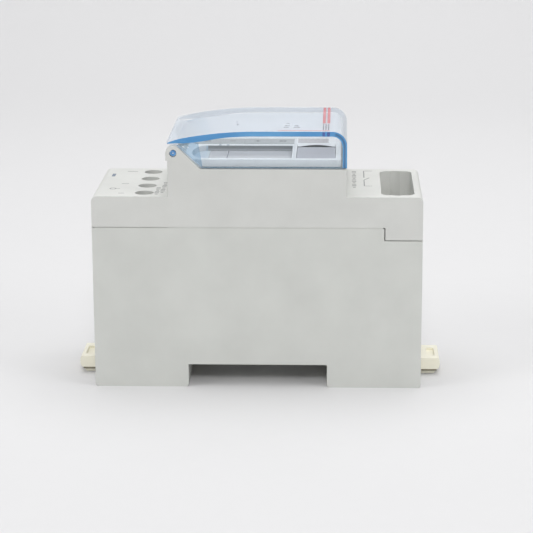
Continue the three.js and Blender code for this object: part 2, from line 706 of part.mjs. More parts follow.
// A can with a crimp near its lead end.
function smoothingCapacitor() {
  const { x, y, radius, crimpR, endR, height } = CAN;
  const crimp = height - 1.8;
  const profile = [
    [0, 0],
    [endR, 0],
    [radius, 0.5],
    [radius, crimp - 0.4],
    [crimpR, crimp],
    [radius, crimp + 0.4],
    [radius, height],
    [0, height],
  ].map(([r, z]) => new THREE.Vector2(r, z));
  const can = new THREE.LatheGeometry(profile, 20).rotateX(Math.PI / 2);
  return can.translate(x, y, UNDER_BOARD - height);
}

function varistor() {
  const { x0, x1, y, radius, drop } = VARISTOR;
  return barX(y, UNDER_BOARD - drop, x0, x1, radius, 18);
}

function fuseResistor() {
  const { x, y0, y1, radius, drop } = FUSE;
  return barY(x, UNDER_BOARD - drop, y0, y1, radius, 14);
}

const CELL_TOP = DISPLAY_BOARD.z0 - GAP - CELL.drop;

// A square cup under the display board, open below and at its near side.
function cellHolder() {
  const { x, y, radius, thickness } = CELL;
  const ceiling = CELL_TOP + GAP;
  const wall = 1.5;
  const side = radius + wall;
  const z0 = CELL_TOP - thickness - 0.6;
  const z1 = DISPLAY_BOARD.z0 - GAP;
  return cut(
    plate(roundedRect(x - side, x + side, y - side, y + side, 2.0), z0, z1),
    barZ(x, y, z0 - PAST, ceiling, radius + GAP, 28),
    block(x - 7, x + 7, y - side - PAST, y, z0 - PAST, ceiling),
  );
}

function backupCell() {
  const { x, y, radius, lidR, thickness } = CELL;
  const rim = CELL_TOP - thickness;
  return join(barZ(x, y, rim, CELL_TOP, radius, 28), barZ(x, y, rim - 0.4, CELL_TOP, lidR, 24));
}

function microcontroller() {
  const { x0, x1, halfY, height } = CHIP;
  return plate(roundedRect(x0, x1, -halfY, halfY, 0.3), OVER_BOARD, OVER_BOARD + height);
}

function quartzCrystal() {
  const { x0, x1, y0, y1, height } = CRYSTAL;
  return plate(roundedRect(x0, x1, y0, y1, 1.8), OVER_BOARD, OVER_BOARD + height);
}

// ---------------------------------------------------------------- terminals

function terminalScrew(x, y) {
  const { screwHeadR, screwR, recessDepth, recessLong, recessWide } = TERMINAL;
  const profile = [
    [0, HEAD_UNDERSIDE],
    [screwHeadR, HEAD_UNDERSIDE],
    [screwHeadR, HEAD_TOP - 0.4],
    [screwHeadR - 0.4, HEAD_TOP],
    [0, HEAD_TOP],
  ].map(([r, z]) => new THREE.Vector2(r, z));
  const head = new THREE.LatheGeometry(profile, 12).rotateX(Math.PI / 2);
  const shank = barZ(0, 0, TERMINAL.tongueTop + GAP, HEAD_UNDERSIDE + 0.5, screwR, 10);
  const [floor, over] = [HEAD_TOP - recessDepth, HEAD_TOP + PAST];
  return cut(
    join(head, shank),
    block(-recessLong, recessLong, -recessWide, recessWide, floor, over),
    block(-recessWide, recessWide, -recessLong, recessLong, floor, over),
  ).translate(x, y, 0);
}

// A rising clamp: a steel frame round the tongue, with the screw threaded through its roof.
function terminalCage(x, y) {
  const { cageHalfWidth, cageHalfLength, cageWall, cageRoof, screwR } = TERMINAL;
  const frame = polygon([
    [-cageHalfWidth, CAGE_FLOOR - cageWall],
    [cageHalfWidth, CAGE_FLOOR - cageWall],
    [cageHalfWidth, CAGE_CEILING + cageRoof],
    [-cageHalfWidth, CAGE_CEILING + cageRoof],
  ]);
  const inner = cageHalfWidth - cageWall;
  frame.holes.push(
    polygon([
      [-inner, CAGE_FLOOR],
      [inner, CAGE_FLOOR],
      [inner, CAGE_CEILING],
      [-inner, CAGE_CEILING],
    ]),
  );
  const band = runX(frame, -cageHalfLength, cageHalfLength);
  const hole = barZ(0, 0, CAGE_CEILING - 0.2, CAGE_CEILING + cageRoof + 1, screwR + 0.2, 10);
  return cut(band, hole).translate(x, y, 0);
}

// The fixed contact that passes through the cage and lies over the power board.
function terminalTongue(x, y) {
  const { tongueHalfWidth, tongueTop, tongueThickness, tongueInner, riserHeight } = TERMINAL;
  const inward = x < 0 ? 1 : -1;
  const outer = x - inward * (TERMINAL.cageHalfLength + 0.8);
  const inner = x + inward * tongueInner;
  const z0 = tongueTop - tongueThickness;
  const across = (from, to) => [Math.min(from, to), Math.max(from, to)];
  const bar = block(
    ...across(outer, inner),
    y - tongueHalfWidth,
    y + tongueHalfWidth,
    z0,
    tongueTop,
  );
  const riser = block(
    ...across(inner - inward, inner),
    y - tongueHalfWidth + 0.4,
    y + tongueHalfWidth - 0.4,
    z0,
    tongueTop + riserHeight,
  );
  return join(bar, riser);
}

// ---------------------------------------------------------------- rail clips

// A clip for the +X foot: a sliding tab with a nose under the rail's flange and a spring leaf.
function railClip() {
  const { nose, tip, top, bottom, halfWidth, leafHalf, leafStart, leafTop, leafBottom } = CLIP;
  const tab = filleted([
    [nose, top],
    [tip - 0.3, top, 0.4],
    [tip, -3.2, 0.8],
    [tip - 0.5, bottom, 0.4],
    [nose + 1.9, bottom],
    [nose, bottom + 1.8],
  ]);
  const leaf = polygon([
    [tip - 1.0, bottom + 0.3],
    [tip - 1.1, leafTop - 0.3],
    [tip - 1.7, leafBottom],
    [leafStart, leafBottom],
    [leafStart, leafTop],
    [HALF_LENGTH, leafTop],
    [tip - 2.0, bottom - 0.1],
    [tip - 2.1, bottom + 0.3],
  ]);
  const slot = roundedRect(CLIP_SLOT.x0, CLIP_SLOT.x1, -CLIP_SLOT.halfY, CLIP_SLOT.halfY, 0.4);
  return cut(
    join(slab(tab, -halfWidth, halfWidth, 3), slab(leaf, -leafHalf, leafHalf)),
    plate(slot, bottom + 0.6, top + PAST),
  );
}

// ---------------------------------------------------------------- build

place("base_housing", lowerHousing(), "lower_shell");
place("top_housing", upperHousing(), "upper_shell");
place("front_panel", frontPanel(), "panel");
place("lid", lid(), "lid_clear");
place("display_lens", displayLens(), "lens");
place("lcd_panel", lcdPanel(), "lcd_glass");
place("lcd_light_guide", lightGuide(), "light_guide");
place("zebra_strip", zebraStrip(), "rubber");
place("display_board", displayBoard(), "board");
place("power_board", powerBoard(), "board");
place("board_link_header", boardLink(), "pins");
BUTTON_NAMES.forEach((name, i) => place(name, button(buttonX(i)), "button"));
place("button_mat", buttonMat(), "rubber");
place("programming_key", programmingKey(), "key_cap");
place("key_socket", keySocket(), "socket");
place("rail_clip_right", railClip(), "clip");
place("rail_clip_left", railClip().rotateZ(Math.PI), "clip");

[TERMINAL.leftX, TERMINAL.rightX].forEach((x, row) => {
  TERMINAL_Y.forEach((y, i) => {
    const number = row * TERMINAL_Y.length + i + 1;
    place(`terminal_screw_${number}`, terminalScrew(x, y), "screw_steel");
    place(`terminal_cage_${number}`, terminalCage(x, y), "cage_steel");
    place(`terminal_tongue_${number}`, terminalTongue(x, y), "tongue_brass");
  });
});

RELAY.y.forEach((y, i) => place(`relay_${i + 1}`, relay(y), "relay_case"));
place("dropper_capacitor", dropperCapacitor(), "film_case");
place("smoothing_capacitor", smoothingCapacitor(), "can");
place("varistor", varistor(), "varistor");
place("fuse_resistor", fuseResistor(), "resistor");
place("cell_holder", cellHolder(), "socket");
place("backup_cell", backupCell(), "cell");
place("microcontroller", microcontroller(), "chip");
place("quartz_crystal", quartzCrystal(), "cell");

export default timer;
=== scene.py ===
"""Looks of a two-module timer switch: mouldings, clear lid, display and terminals."""

import logging
import math
from dataclasses import dataclass, field
from enum import Enum
from typing import Sequence

import bmesh
import bpy
import numpy as np
from mathutils import Matrix, Vector


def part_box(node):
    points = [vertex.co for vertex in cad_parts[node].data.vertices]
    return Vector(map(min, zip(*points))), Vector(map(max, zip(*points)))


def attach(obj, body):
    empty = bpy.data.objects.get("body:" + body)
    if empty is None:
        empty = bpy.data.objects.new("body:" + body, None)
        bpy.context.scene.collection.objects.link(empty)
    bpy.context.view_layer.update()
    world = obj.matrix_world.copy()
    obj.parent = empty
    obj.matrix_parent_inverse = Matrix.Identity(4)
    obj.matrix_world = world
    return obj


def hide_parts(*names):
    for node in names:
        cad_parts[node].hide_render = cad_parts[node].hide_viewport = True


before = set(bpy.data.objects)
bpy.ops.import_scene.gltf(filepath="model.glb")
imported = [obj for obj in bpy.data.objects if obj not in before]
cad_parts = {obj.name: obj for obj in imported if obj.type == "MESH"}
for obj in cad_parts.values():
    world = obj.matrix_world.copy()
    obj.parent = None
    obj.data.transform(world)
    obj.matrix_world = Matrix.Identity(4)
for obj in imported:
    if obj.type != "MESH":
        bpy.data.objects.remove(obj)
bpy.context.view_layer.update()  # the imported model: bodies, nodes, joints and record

LOG = logging.getLogger("timer")
MM = 0.001

SIDES = {-1: "near", 1: "far"}
UP = np.array([0.0, 0.0, 1.0])

Colour = tuple[float, float, float]
Place = tuple[float, float]


# ------------------------------------------------------------------ shader expressions


class Value:
    """A number socket of a shader tree, on which Python's operators add Math nodes."""

    def __init__(self, shader: "Shader", socket: bpy.types.NodeSocket) -> None:
        """Keeps the socket and the shader that owns it."""
        self.shader = shader
        self.socket = socket

    def _math(self, operation: str, first: object, second: object) -> "Value":
        """Adds one Math node.

        Args:
            operation: the node's operation, such as MULTIPLY.
            first: the upper input, a Value or a number.
            second: the lower input, a Value or a number.

        Returns:
            The node's result.
        """
        return self.shader.node("ShaderNodeMath", {"operation": operation}, {0: first, 1: second})

    def __add__(self, other: object) -> "Value":
        """Sum."""
        return self._math("ADD", self, other)

    def __radd__(self, other: object) -> "Value":
        """Sum with a number on the left."""
        return self._math("ADD", other, self)

    def __sub__(self, other: object) -> "Value":
        """Difference."""
        return self._math("SUBTRACT", self, other)

    def __rsub__(self, other: object) -> "Value":
        """Difference from a number."""
        return self._math("SUBTRACT", other, self)

    def __mul__(self, other: object) -> "Value":
        """Product."""
        return self._math("MULTIPLY", self, other)

    def __rmul__(self, other: object) -> "Value":
        """Product with a number on the left."""
        return self._math("MULTIPLY", other, self)


class Shader:
    """A material's node tree, filled from one method."""

    def __init__(self, name: str) -> None:
        """Starts an empty tree with its output node.

        Args:
            name: the material's name.
        """
        self.material = bpy.data.materials.new(name)
        self.material.use_nodes = True
        self.tree = self.material.node_tree
        self.tree.nodes.clear()
        self.output = self.tree.nodes.new("ShaderNodeOutputMaterial")

    def node(
        self,
        kind: str,
        settings: dict[str, object] | None = None,
        inputs: dict[object, object] | None = None,
        out: object = 0,
    ) -> Value:
        """Adds a node, sets it up and fills its sockets.

        Args:
            kind: the node's type.
            settings: its own properties, set first; "stops" gives a ramp's stops.
            inputs: socket name or number to a Value or a plain value.
            out: name or number of the output to return.

        Returns:
            The chosen output.
        """
        made = self.tree.nodes.new(kind)
        for key, value in (settings or {}).items():
            if key == "stops":
                self._stops(made.color_ramp, value)
            else:
                setattr(made, key, value)
        for key, value in (inputs or {}).items():
            socket = made.inputs[key]
            if isinstance(value, Value):
                self.tree.links.new(value.socket, socket)
            else:
                socket.default_value = value
        return Value(self, made.outputs[out])

    @staticmethod
    def _stops(ramp: bpy.types.ColorRamp, stops: Sequence[tuple[float, float]]) -> None:
        """Places a grey ramp's stops, given as (position, grey)."""
        while len(ramp.elements) < len(stops):
            ramp.elements.new(1.0)
        for element, (position, grey) in zip(ramp.elements, stops):
            element.position = position
            element.color = (grey, grey, grey, 1.0)

    def place(self) -> Value:
        """Object coordinates, in metres."""
        return self.node("ShaderNodeTexCoord", out="Object")

    def noise(self, size_mm: float, detail: float = 3.0, squeeze: Colour = (1, 1, 1)) -> Value:
        """Noise whose features are about size_mm across.

        Args:
            size_mm: feature size in millimetres.
            detail: octaves.
            squeeze: stretch of the pattern along each axis; below 1 makes it longer.

        Returns:
            The noise, about 0.5 on average.
        """
        at = self.node("ShaderNodeMapping", {}, {"Vector": self.place(), "Scale": squeeze})
        sizes = {"Vector": at, "Scale": 1.0 / (size_mm * MM), "Detail": detail}
        return self.node("ShaderNodeTexNoise", {}, sizes, out="Fac")

    def ramp(self, value: Value, stops: Sequence[tuple[float, float]]) -> Value:
        """Sends a number through a grey ramp."""
        return self.node("ShaderNodeValToRGB", {"stops": stops}, {"Fac": value})

    def blend(self, share: object, low: object, high: object) -> Value:
        """Mixes two colours by share."""
        settings = {"data_type": "RGBA"}
        inputs = {0: share, 6: as_rgba(low), 7: as_rgba(high)}
        return self.node("ShaderNodeMix", settings, inputs, out=2)

    def bump(self, height: Value, depth_mm: float, strength: float = 1.0) -> Value:
        """A normal from a height between 0 and 1 that stands depth_mm tall."""
        inputs = {"Height": height, "Distance": depth_mm * MM, "Strength": strength}
        return self.node("ShaderNodeBump", {}, inputs)

    def principled(self, **inputs: object) -> Value:
        """A Principled shader; underscores in the names stand for spaces."""
        named = {key.replace("_", " "): as_rgba(value) for key, value in inputs.items()}
        return self.node("ShaderNodeBsdfPrincipled", {}, named)

    def finish(self, surface: Value) -> bpy.types.Material:
        """Connects the surface and returns the material."""
        self.tree.links.new(surface.socket, self.output.inputs["Surface"])
        return self.material


def as_rgba(value: object) -> object:
    """Adds an alpha of 1 to a colour of three numbers and leaves anything else alone."""
    if isinstance(value, tuple) and len(value) == 3:
        return (*value, 1.0)
    return value


# ------------------------------------------------------------------ finishes


@dataclass(frozen=True)
class Moulding:
    """Injection-moulded plastic: spark-eroded grain, faint flow mottling, uneven sheen."""

    name: str
    colour: Colour
    roughness: float = 0.48
    grain_mm: float = 0.22
    grain_depth_mm: float = 0.006
    mottling: float = 0.035
    specular: float = 0.4

    def material(self) -> bpy.types.Material:
        """Colour times (1 - mottling * cloud), roughness from a finer cloud, grain as bump."""
        shader = Shader(self.name)
        cloud = shader.noise(11.0, 4.0)
        grain = shader.noise(self.grain_mm, 2.0)
        dark = tuple(part * (1.0 - 2.0 * self.mottling) for part in self.colour)
        colour = shader.blend(shader.ramp(cloud, [(0.3, 0.0), (0.7, 1.0)]), dark, self.colour)
        rough = self.roughness + (shader.noise(3.0, 3.0) - 0.5) * 0.12
        return shader.finish(
            shader.principled(
                Base_Color=colour,
                Roughness=rough,
                Specular_IOR_Level=self.specular,
                Normal=shader.bump(grain, self.grain_depth_mm),
            )
        )


@dataclass(frozen=True)
class ClearMoulding:
    """Polished clear plastic: see-through with a tint, mirror-like at a glancing angle."""

    name: str
    tint: Colour
    gloss_colour: Colour = (0.9, 0.95, 1.0)
    roughness: float = 0.06
    haze: float = 0.012
    mirror: float = 0.65
    roof_shade_haze: float = 0.0
    roof_shade_colour: Colour = (0.71, 0.76, 0.82)
    ior: float = 1.49

    def material(self) -> bpy.types.Material:
        """Transparent and glossy shaders mixed by the Fresnel share plus a little haze.

        Where the surface's own normal points along Z the haze is stronger and the gloss takes the
        darker roof colour: painted shade on the roof.
        """
        shader = Shader(self.name)
        smear = shader.ramp(shader.noise(11.0, 2.0, (1.0, 0.35, 1.0)), [(0.4, 0.0), (0.8, 1.0)])
        ripple = shader.bump(shader.noise(14.0, 1.0), 0.012)
        # painted shade on the roof: faces whose normal points up get a darker gloss and more haze
        facing = shader.node("ShaderNodeTexCoord", out="Normal")
        height = shader.node("ShaderNodeSeparateXYZ", {}, {"Vector": facing}, out="Z")
        roof = shader.ramp(height * height, [(0.2, 0.0), (0.6, 1.0)])
        gloss = shader.principled(
            Base_Color=shader.blend(roof, self.gloss_colour, self.roof_shade_colour),
            Roughness=self.roughness + smear * 0.05,
            IOR=self.ior,
            Normal=ripple,
        )
        clear = shader.node("ShaderNodeBsdfTransparent", {}, {"Color": as_rgba(self.tint)})
        fresnel = shader.node("ShaderNodeFresnel", {}, {"IOR": self.ior})
        share = fresnel * self.mirror + (self.haze + smear * (self.haze * 0.5))
        share = share + roof * self.roof_shade_haze
        mixed = shader.node("ShaderNodeMixShader", {}, {0: share, 1: clear, 2: gloss})
        return shader.finish(mixed)


@dataclass(frozen=True)
class EdgeTint:
    """Clear tinted plastic seen edge-on, where the tint is deep and a little light leaks out."""

    name: str
    deep: Colour
    pale: Colour
    clear_share: float = 0.12

    def material(self) -> bpy.types.Material:
        """Deep and pale tints drift along the edge; a small share shows what is behind."""
        shader = Shader(self.name)
        drift = shader.ramp(shader.noise(14.0, 2.0, (1.0, 1.0, 3.0)), [(0.35, 0.0), (0.7, 1.0)])
        colour = shader.blend(drift, self.deep, self.pale)
        solid = shader.principled(Base_Color=colour, Roughness=0.12, Coat_Weight=0.4)
        clear = shader.node("ShaderNodeBsdfTransparent", {}, {"Color": as_rgba(self.pale)})
        inputs = {0: 1.0 - self.clear_share, 1: clear, 2: solid}
        return shader.finish(shader.node("ShaderNodeMixShader", {}, inputs))


@dataclass(frozen=True)
class Metal:
    """Plated or bare metal with fine drawn lines and clouded tarnish."""

    name: str
    colour: Colour
    roughness: float = 0.32
    lines_mm: float = 0.08
    squeeze: Colour = (0.06, 1.0, 1.0)
    tarnish: float = 0.25

    def material(self) -> bpy.types.Material:
        """Colour darkens by the tarnish cloud; stretched noise makes the drawn lines."""
        shader = Shader(self.name)
        cloud = shader.ramp(shader.noise(2.4, 5.0), [(0.4, 0.0), (0.75, 1.0)])
        lines = shader.noise(self.lines_mm, 2.0, self.squeeze)
        dark = tuple(part * (1.0 - self.tarnish) for part in self.colour)
        return shader.finish(
            shader.principled(
                Base_Color=shader.blend(cloud, self.colour, dark),
                Metallic=1.0,
                Roughness=self.roughness + cloud * 0.15 + (lines - 0.5) * 0.1,
                Normal=shader.bump(lines, 0.002),
            )
        )


@dataclass(frozen=True)
class Glazing:
    """A flat display cell: grey, smooth, with two greys drifting across it and faint reflections.
    """

    name: str
    near: Colour
    far: Colour
    roughness: float = 0.12

    def material(self) -> bpy.types.Material:
        """Two greys drift across the cell; a very fine speckle roughens the gloss."""
        shader = Shader(self.name)
        drift = shader.noise(16.0, 1.0)
        grid = shader.noise(0.12, 1.0)
        colour = shader.blend(shader.ramp(drift, [(0.3, 0.0), (0.7, 1.0)]), self.near, self.far)
        rough = self.roughness + grid * 0.06
        return shader.finish(shader.principled(Base_Color=colour, Roughness=rough, IOR=1.5))


@dataclass(frozen=True)
class Ink:
    """Pad-printed ink: slightly uneven cover, matt."""

    name: str
    colour: Colour
    cover: float = 1.0

    def material(self) -> bpy.types.Material:
        """Colour thins out by a fine cloud; cover below 1 lets the ground show."""
        shader = Shader(self.name)
        specks = shader.ramp(shader.noise(0.35, 3.0), [(0.25, 0.75), (0.6, 1.0)])
        pale = tuple(0.6 * part + 0.4 for part in self.colour)
        solid = shader.principled(
            Base_Color=shader.blend(specks, pale, self.colour),
            Roughness=0.55,
            Alpha=specks * self.cover,
        )
        return shader.finish(solid)


@dataclass(frozen=True)
class BoardResin:
    """Green solder mask over woven glass, with the weave just visible."""

    name: str
    colour: Colour

    def material(self) -> bpy.types.Material:
        """Two crossed stretched noises stand for the weave under the mask."""
        shader = Shader(self.name)
        warp = shader.noise(0.5, 1.0, (0.12, 1.0, 1.0))
        weft = shader.noise(0.5, 1.0, (1.0, 0.12, 1.0))
        pale = tuple(min(1.0, 1.5 * part + 0.02) for part in self.colour)
        colour = shader.blend(warp * weft, self.colour, pale)
        normal = shader.bump(warp + weft, 0.004)
        return shader.finish(shader.principled(Base_Color=colour, Roughness=0.35, Normal=normal))


@dataclass(frozen=True)
class StudioPaper:
    """The pale sweep under and behind the object."""

    name: str
    colour: Colour

    def material(self) -> bpy.types.Material:
        """Plain matt paper with a trace of fibre."""
        shader = Shader(self.name)
        fibre = shader.noise(4.0, 3.0)
        dark = tuple(part * 0.985 for part in self.colour)
        colour = shader.blend(fibre, dark, self.colour)
        return shader.finish(shader.principled(Base_Color=colour, Roughness=0.85))


class Finish(Enum):
    """Every finish of the object, by the record's slot or by what it is."""

    LOWER_SHELL = Moulding("lower_shell_grey", (0.615, 0.625, 0.595))
    UPPER_SHELL = Moulding("upper_shell_grey", (0.63, 0.635, 0.61))
    PANEL = Moulding("panel_white", (0.90, 0.92, 0.925), roughness=0.42)
    KEY_CAP = Moulding("key_lilac_grey", (0.47, 0.475, 0.51), roughness=0.4, mottling=0.05)
    BUTTON = Moulding("button_grey", (0.47, 0.49, 0.485), roughness=0.4)
    CLIP = Moulding("clip_ivory", (0.90, 0.87, 0.73), roughness=0.36, mottling=0.05, specular=0.5)
    CLIP_SHADE = Moulding("clip_shade_brown", (0.24, 0.22, 0.16), roughness=0.6)
    SOCKET = Moulding("socket_black", (0.035, 0.035, 0.038), roughness=0.5)
    # painted shade on the display window's wall: dark grey above, a paler grey below
    SURROUND = Moulding("window_wall_painted_shade", (0.29, 0.30, 0.30), roughness=0.6)
    SURROUND_PALE = Moulding("window_wall_painted_half_shade", (0.52, 0.53, 0.54), roughness=0.6)
    SILICONE = Moulding("silicone_dark", (0.04, 0.04, 0.043), roughness=0.75, grain_mm=0.6)
    LIGHT_GUIDE = Moulding("light_guide_white", (0.85, 0.87, 0.85), roughness=0.18)
    RELAY = Moulding("relay_case_blue", (0.03, 0.07, 0.20), roughness=0.38)
    FILM = Moulding("film_case_yellow", (0.72, 0.50, 0.07), roughness=0.3)
    CAN = Moulding("can_sleeve_dark", (0.04, 0.045, 0.06), roughness=0.28)
    VARISTOR = Moulding("varistor_blue", (0.03, 0.10, 0.42), roughness=0.35, grain_mm=0.5)
    CHIP = Moulding("chip_black", (0.02, 0.02, 0.02), roughness=0.55)
    RESISTOR = Moulding("resistor_green", (0.20, 0.33, 0.20), roughness=0.7, grain_mm=0.4)
    LID = ClearMoulding("lid_clear_blue", (0.970, 0.978, 0.986), roof_shade_haze=0.06)
    LENS = ClearMoulding("lens_clear", (0.97, 0.972, 0.975), haze=0.0, mirror=0.3)
    LID_EDGE = EdgeTint("lid_edge_blue", (0.075, 0.29, 0.60), (0.13, 0.38, 0.68))
    LID_EDGE_PALE = EdgeTint("lid_edge_pale", (0.93, 0.96, 1.0), (0.96, 0.98, 1.0), 0.08)
    LID_EDGE_DARK = EdgeTint("lid_end_edge_blue", (0.05, 0.15, 0.30), (0.08, 0.21, 0.40))
    LID_ARM = EdgeTint("lid_arm_blue", (0.56, 0.68, 0.78), (0.80, 0.88, 0.94), clear_share=0.88)
    # painted highlights: small bright glints on the lid and the panel
    GLINT = Moulding("painted_glint_white", (0.86, 0.90, 0.92), roughness=0.15)
    FACE = Glazing("display_face_grey", (0.60, 0.61, 0.63), (0.66, 0.67, 0.69))
    LCD = Glazing("lcd_grey", (0.40, 0.42, 0.44), (0.47, 0.49, 0.52))
    SCREW = Metal("screw_zinc", (0.60, 0.60, 0.58))
    CAGE = Metal("cage_zinc", (0.55, 0.53, 0.48), roughness=0.38)
    TONGUE = Metal("tongue_brass", (0.72, 0.56, 0.30), roughness=0.34)
    PINS = Metal("pins_gold", (0.70, 0.55, 0.28), roughness=0.3)
    CELL = Metal("cell_steel", (0.66, 0.66, 0.64), roughness=0.3)
    BOARD = BoardResin("board_green", (0.02, 0.13, 0.05))
    LID_RIM = EdgeTint("lid_rim_blue", (0.22, 0.34, 0.44), (0.36, 0.48, 0.56), clear_share=0.5)
    LID_PIN = EdgeTint("lid_pin_blue", (0.04, 0.18, 0.46), (0.12, 0.32, 0.62), clear_share=0.0)
    BOW = Moulding("bow_mask_blue_grey", (0.60, 0.69, 0.76), roughness=0.3)
    BAR = Moulding("bow_bar_pale", (0.64, 0.72, 0.76), roughness=0.3)
    # painted shade for the finger slot's wall
    SLOT = Moulding("slot_painted_shade", (0.09, 0.09, 0.085), roughness=0.6)
    INK_PINK = Ink("ink_pink", (0.72, 0.28, 0.28), cover=0.5)
    INK_GREY_THIN = Ink("ink_grey_thin", (0.30, 0.31, 0.34), cover=0.45)
    INK_GREY = Ink("ink_grey", (0.28, 0.28, 0.29), cover=0.85)
    INK_BLUE = Ink("ink_blue_grey", (0.25, 0.30, 0.38), cover=0.8)
    INK_PALE = Ink("ink_pale_grey", (0.34, 0.34, 0.35), cover=0.48)
    INK_RED = Ink("ink_red", (0.72, 0.19, 0.20), cover=0.45)
    INK_ROSE = Ink("rose_tint", (0.66, 0.54, 0.56), cover=0.13)
    INK_VIOLET = Ink("ink_violet", (0.10, 0.10, 0.42), cover=0.32)
    DIVIDER = Moulding("divider_white", (0.80, 0.82, 0.83), roughness=0.4)
    PAPER = StudioPaper("studio_paper", (0.682, 0.679, 0.684))

    def material(self) -> bpy.types.Material:
        """The finish's material, made on first use."""
        found = bpy.data.materials.get(self.value.name)
        return found or self.value.material()


# ------------------------------------------------------------------ surfaces


def strip_faces(rows: int, columns: int, wrap_rows: bool, wrap_columns: bool) -> np.ndarray:
    """Quads of a grid of points, row by row.

    Args:
        rows: points along the first parameter.
        columns: points along the second parameter.
        wrap_rows: joins the last row to the first.
        wrap_columns: joins the last column to the first.

    Returns:
        An array of vertex numbers, four to a face.
    """
    i = np.arange(rows if wrap_rows else rows - 1)[:, None]
    j = np.arange(columns if wrap_columns else columns - 1)[None, :]
    i2, j2 = (i + 1) % rows, (j + 1) % columns
    corners = [i * columns + j, i * columns + j2, i2 * columns + j2, i2 * columns + j]
    return np.stack(corners, axis=-1).reshape(-1, 4)


def end_faces(count: int) -> list[list[int]]:
    """The two end quads of a four-sided bar of count steps."""
    last = 4 * (count - 1)
    return [[3, 2, 1, 0], [last, last + 1, last + 2, last + 3]]


def make_piece(
    name: str,
    points: np.ndarray,
    faces: Sequence[Sequence[int]],
    finish: Finish,
    body: str,
    smooth_deg: float = 35.0,
) -> bpy.types.Object:
    """Turns points and faces into a finished piece with its faces pointing outwards.

    Args:
        name: the piece's name.
        points: N x 3 places in metres.
        faces: vertex numbers of each face.
        finish: what it is made of.
        body: the CAD body that it moves with.
        smooth_deg: edges sharper than this stay sharp.

    Returns:
        The object.
    """
    mesh = bpy.data.meshes.new(name)
    mesh.from_pydata(points.reshape(-1, 3).tolist(), [], [list(map(int, f)) for f in faces])
    piece = bpy.data.objects.new(name, mesh)
    bpy.context.scene.collection.objects.link(piece)
    tidy_mesh(mesh, smooth_deg)
    return dress(piece, finish, body)


def tidy_mesh(mesh: bpy.types.Mesh, smooth_deg: float) -> None:
    """Merges doubles, points the faces outwards and smooths all but the sharp edges."""
    work = bmesh.new()
    work.from_mesh(mesh)
    bmesh.ops.remove_doubles(work, verts=work.verts, dist=1e-7)
    bmesh.ops.recalc_face_normals(work, faces=work.faces)
    work.to_mesh(mesh)
    work.free()
    mesh.shade_smooth()
    mesh.set_sharp_from_angle(angle=math.radians(smooth_deg))


def dress(piece: bpy.types.Object, finish: Finish, body: str) -> bpy.types.Object:
    """Gives a piece its material and its body, and reports it."""
    piece.data.materials.clear()
    piece.data.materials.append(finish.material())
    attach(piece, body)
    LOG.info("%s on %s, %d faces", piece.name, body, len(piece.data.polygons))
    return piece


@dataclass(frozen=True)
class Rounding:
    """How a copied CAD shape is rounded.

    Edges that lie within near_mm of a listed seam, given as (axis, value in mm), keep only the
    share seam_share of the rounding, so that two housings still meet in a thin line.
    """

    radius_mm: float
    segments: int = 3
    seams: tuple[tuple[int, float], ...] = ()
    near_mm: float = 0.3
    seam_share: float = 0.2
    grow_mm: Colour = (0.0, 0.0, 0.0)

    def weigh(self, work: bmesh.types.BMesh) -> None:
        """Writes a bevel weight on every edge that turns by more than 32 degrees."""
        layer = work.edges.layers.float.new("bevel_weight_edge")
        for edge in work.edges:
            if len(edge.link_faces) == 2 and edge.calc_face_angle(0.0) > math.radians(32):
                at_seam = any(
                    all(abs(vert.co[axis] / MM - value) < self.near_mm for vert in edge.verts)
                    for axis, value in self.seams
                )
                edge[layer] = self.seam_share if at_seam else 1.0

    def grow(self, work: bmesh.types.BMesh) -> None:
        """Moves every point away from the middle by grow_mm along each axis."""
        places = np.array([vert.co for vert in work.verts])
        middle = (places.min(axis=0) + places.max(axis=0)) / 2
        places += np.sign(places - middle) * np.array(self.grow_mm) * MM
        for vert, place in zip(work.verts, places):
            vert.co = place


def softened(
    node: str, name: str, finish: Finish, body: str, rounding: Rounding
) -> bpy.types.Object:
    """The CAD node's own shape with its flat faces made whole and its sharp edges rounded.

    Args:
        node: the CAD node that the piece stands for.
        name: the piece's name.
        finish: what it is made of.
        body: the CAD body that it moves with.
        rounding: width and fineness of the rounded edges.

    Returns:
        The object.
    """
    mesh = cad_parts[node].data.copy()
    mesh.name = name
    work = bmesh.new()
    work.from_mesh(mesh)
    bmesh.ops.remove_doubles(work, verts=work.verts, dist=2e-6)
    bmesh.ops.dissolve_limit(
        work, angle_limit=math.radians(0.5), verts=work.verts, edges=work.edges
    )
    if any(rounding.grow_mm):
        rounding.grow(work)
    rounding.weigh(work)
    work.to_mesh(mesh)
    work.free()
    piece = bpy.data.objects.new(name, mesh)
    bpy.context.scene.collection.objects.link(piece)
    mesh.shade_smooth()
    bevel = piece.modifiers.new("rounding", "BEVEL")
    bevel.width = rounding.radius_mm * MM
    bevel.segments = rounding.segments
    bevel.limit_method = "WEIGHT"
    bevel.use_clamp_overlap = True
    bevel.miter_outer = "MITER_ARC"
    even = piece.modifiers.new("even", "WEIGHTED_NORMAL")
    even.weight = 100
    dress(piece, finish, body)
    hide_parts(node)
    return piece


